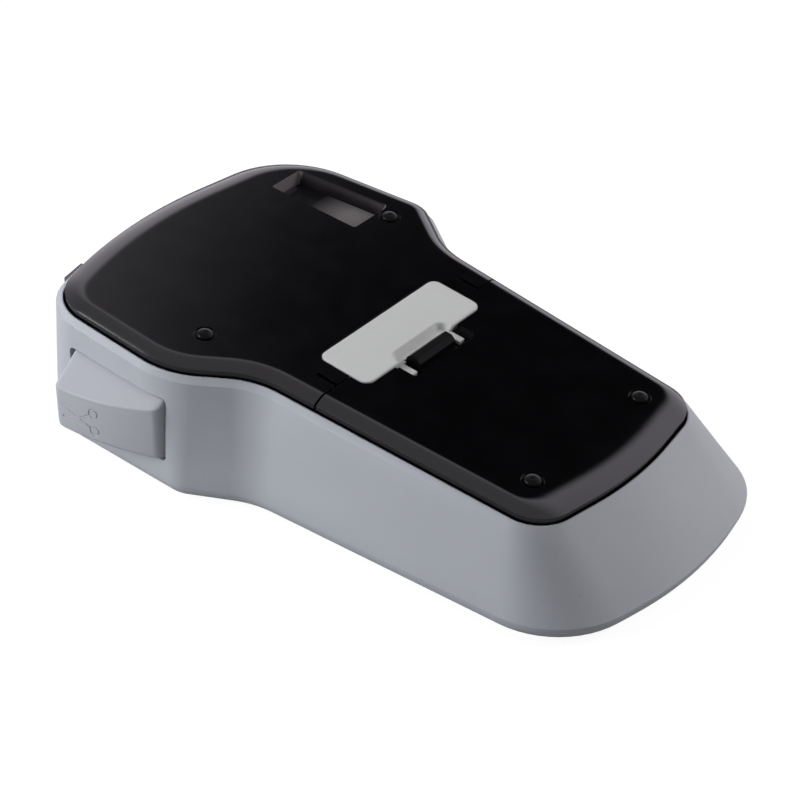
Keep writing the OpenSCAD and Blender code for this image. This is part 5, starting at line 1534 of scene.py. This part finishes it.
@dataclass
class Studio:
    """Pale floor, soft light and the camera at the photograph's angle."""

    azimuth: float = -50.60
    elevation: float = 35.57
    distance: float = 787.9
    target: Triple = (-26.62, -0.04, 42.5)
    focal_px: float = 2600.0
    image_px: float = 800.0
    sensor: float = 36.0
    far: float = 20.0
    lamps: tuple[Lamp, ...] = (
        Lamp("left_lamp", (-560.0, 500.0, 330.0), 0.5, 5.4, (0.95, 0.975, 1.0), mirrored=True),
        Lamp("right_lamp", (900.0, -700.0, 650.0), 0.8, 10.4, (1.0, 0.99, 0.98)),
        Lamp("back_lamp", (-60.0, 560.0, 760.0), 0.4, 1.7, (1.0, 1.0, 1.0)),
    )
    floor_size: float = 6.0
    floor_z: float = -0.0002
    floor_glow: float = 0.92
    floor_seen: Triple = (0.16, 0.16, 0.16)
    floor_unseen: Triple = (0.5, 0.5, 0.5)
    ambient: float = 0.13
    ambient_colour: Triple = (0.93, 0.96, 1.0)
    mirror: float = 1.7
    mirror_colour: Triple = (0.95, 0.91, 1.0)
    dark_towards: Triple = (0.66, 0.345, 0.668)
    dark_angles: Point = (5.6, 19.0)
    dim_x: Point = (0.2, 0.6)
    dim_share: float = 0.5

    def camera(self) -> None:
        """Sets the camera at the photograph's viewing angle."""
        a, e = math.radians(self.azimuth), math.radians(self.elevation)
        back = Vector((math.sin(a) * math.cos(e), -math.cos(a) * math.cos(e), math.sin(e)))
        data = bpy.data.cameras.new("photo_camera")
        data.sensor_width = self.sensor
        data.lens = self.sensor * self.focal_px / self.image_px
        data.clip_end = self.far
        camera = bpy.data.objects.new("photo_camera", data)
        camera.location = at(*self.target) + back * self.distance * MM
        camera.rotation_euler = back.to_track_quat("Z", "Y").to_euler()
        bpy.context.scene.collection.objects.link(camera)
        bpy.context.scene.camera = camera

    def floor(self) -> None:
        """Lays a pale floor that the camera sees nearly white, with the object's shadow."""
        bpy.ops.object.select_all(action="DESELECT")
        bpy.ops.mesh.primitive_plane_add(size=self.floor_size, location=(0.0, 0.0, self.floor_z))
        floor = bpy.context.active_object
        floor.name = "studio_floor"
        material = bpy.data.materials.new("floor_white")
        material.use_nodes = True
        graph = Graph(material.node_tree)
        graph.nodes.clear()
        seen_by_camera = graph.add("LightPath").outputs["Is Camera Ray"]
        glow = graph.add("Emission", {"Strength": self.floor_glow}).outputs[0]
        faint = graph.add("BsdfDiffuse", {"Color": self.floor_seen}).outputs[0]
        plain = graph.add("BsdfDiffuse", {"Color": self.floor_unseen}).outputs[0]
        seen = graph.add("AddShader", {0: glow, 1: faint}).outputs[0]
        both = graph.add("MixShader", {"Fac": seen_by_camera, 1: plain, 2: seen}).outputs[0]
        graph.add("OutputMaterial", {"Surface": both})
        floor.data.materials.append(material)

    def world(self) -> None:
        """Gives the camera a white sky, and mirrors a pale sky with one dark patch."""
        world = bpy.data.worlds.new("studio_sky")
        bpy.context.scene.world = world
        world.use_nodes = True
        graph = Graph(world.node_tree)
        graph.nodes.clear()
        path = graph.add("LightPath").outputs
        place = graph.add("TexCoord").outputs["Generated"]
        dark = Vector(self.dark_towards).normalized()
        towards = graph.add("VectorMath", {0: place, 1: dark}, operation="DOT_PRODUCT").outputs["Value"]
        inner, outer = (math.radians(angle) for angle in self.dark_angles)
        rise = graph.span(graph.calc("ARCCOSINE", towards), inner, outer, 0.0, self.mirror,
                          interpolation_type="SMOOTHSTEP")
        dim = graph.span(graph.axis("X", place), *self.dim_x, self.dim_share, 1.0)
        pale = graph.calc("MULTIPLY", rise, dim)
        ambient = graph.add("Background", {"Color": self.ambient_colour, "Strength": self.ambient}).outputs[0]
        mirror = graph.add("Background", {"Color": self.mirror_colour, "Strength": pale}).outputs[0]
        white = graph.add("Background", {"Color": (1.0, 1.0, 1.0)}).outputs[0]
        bounced = graph.calc("MAXIMUM", path["Is Glossy Ray"], path["Is Transmission Ray"])
        unseen = graph.add("MixShader", {"Fac": bounced, 1: ambient, 2: mirror}).outputs[0]
        sky = graph.add("MixShader", {"Fac": path["Is Camera Ray"], 1: unseen, 2: white}).outputs[0]
        graph.add("OutputWorld", {"Surface": sky})

    def build(self) -> None:
        """Sets up camera, light, floor and sky."""
        self.camera()
        for lamp in self.lamps:
            lamp.build()
        self.floor()
        self.world()
        bpy.context.scene.view_settings.view_transform = "Standard"


def dress_frame() -> None:
    """Gives every node of the frame that still shows its finish."""
    for name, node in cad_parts.items():
        finish = NODE_FINISHES.get(name) or (KEY_LIGHT if name.endswith("_key") else None)
        if finish is None or node.hide_render:
            continue
        for slot in node.material_slots:
            slot.material = finish.material()
        LOG.info("%s is finished as %s", name, finish.slot)


def main() -> None:
    """Builds the studio and the printer's assemblies in order."""
    logging.basicConfig(level=logging.INFO, format="%(message)s")
    Studio().build()
    for assembly in (CaseWall(), CassetteDoor(), BatteryDoor(), CentreTab(), CutterLever(), TapeMouth()):
        assembly.build()
    dress_frame()


if __name__ == "__main__":
    main()
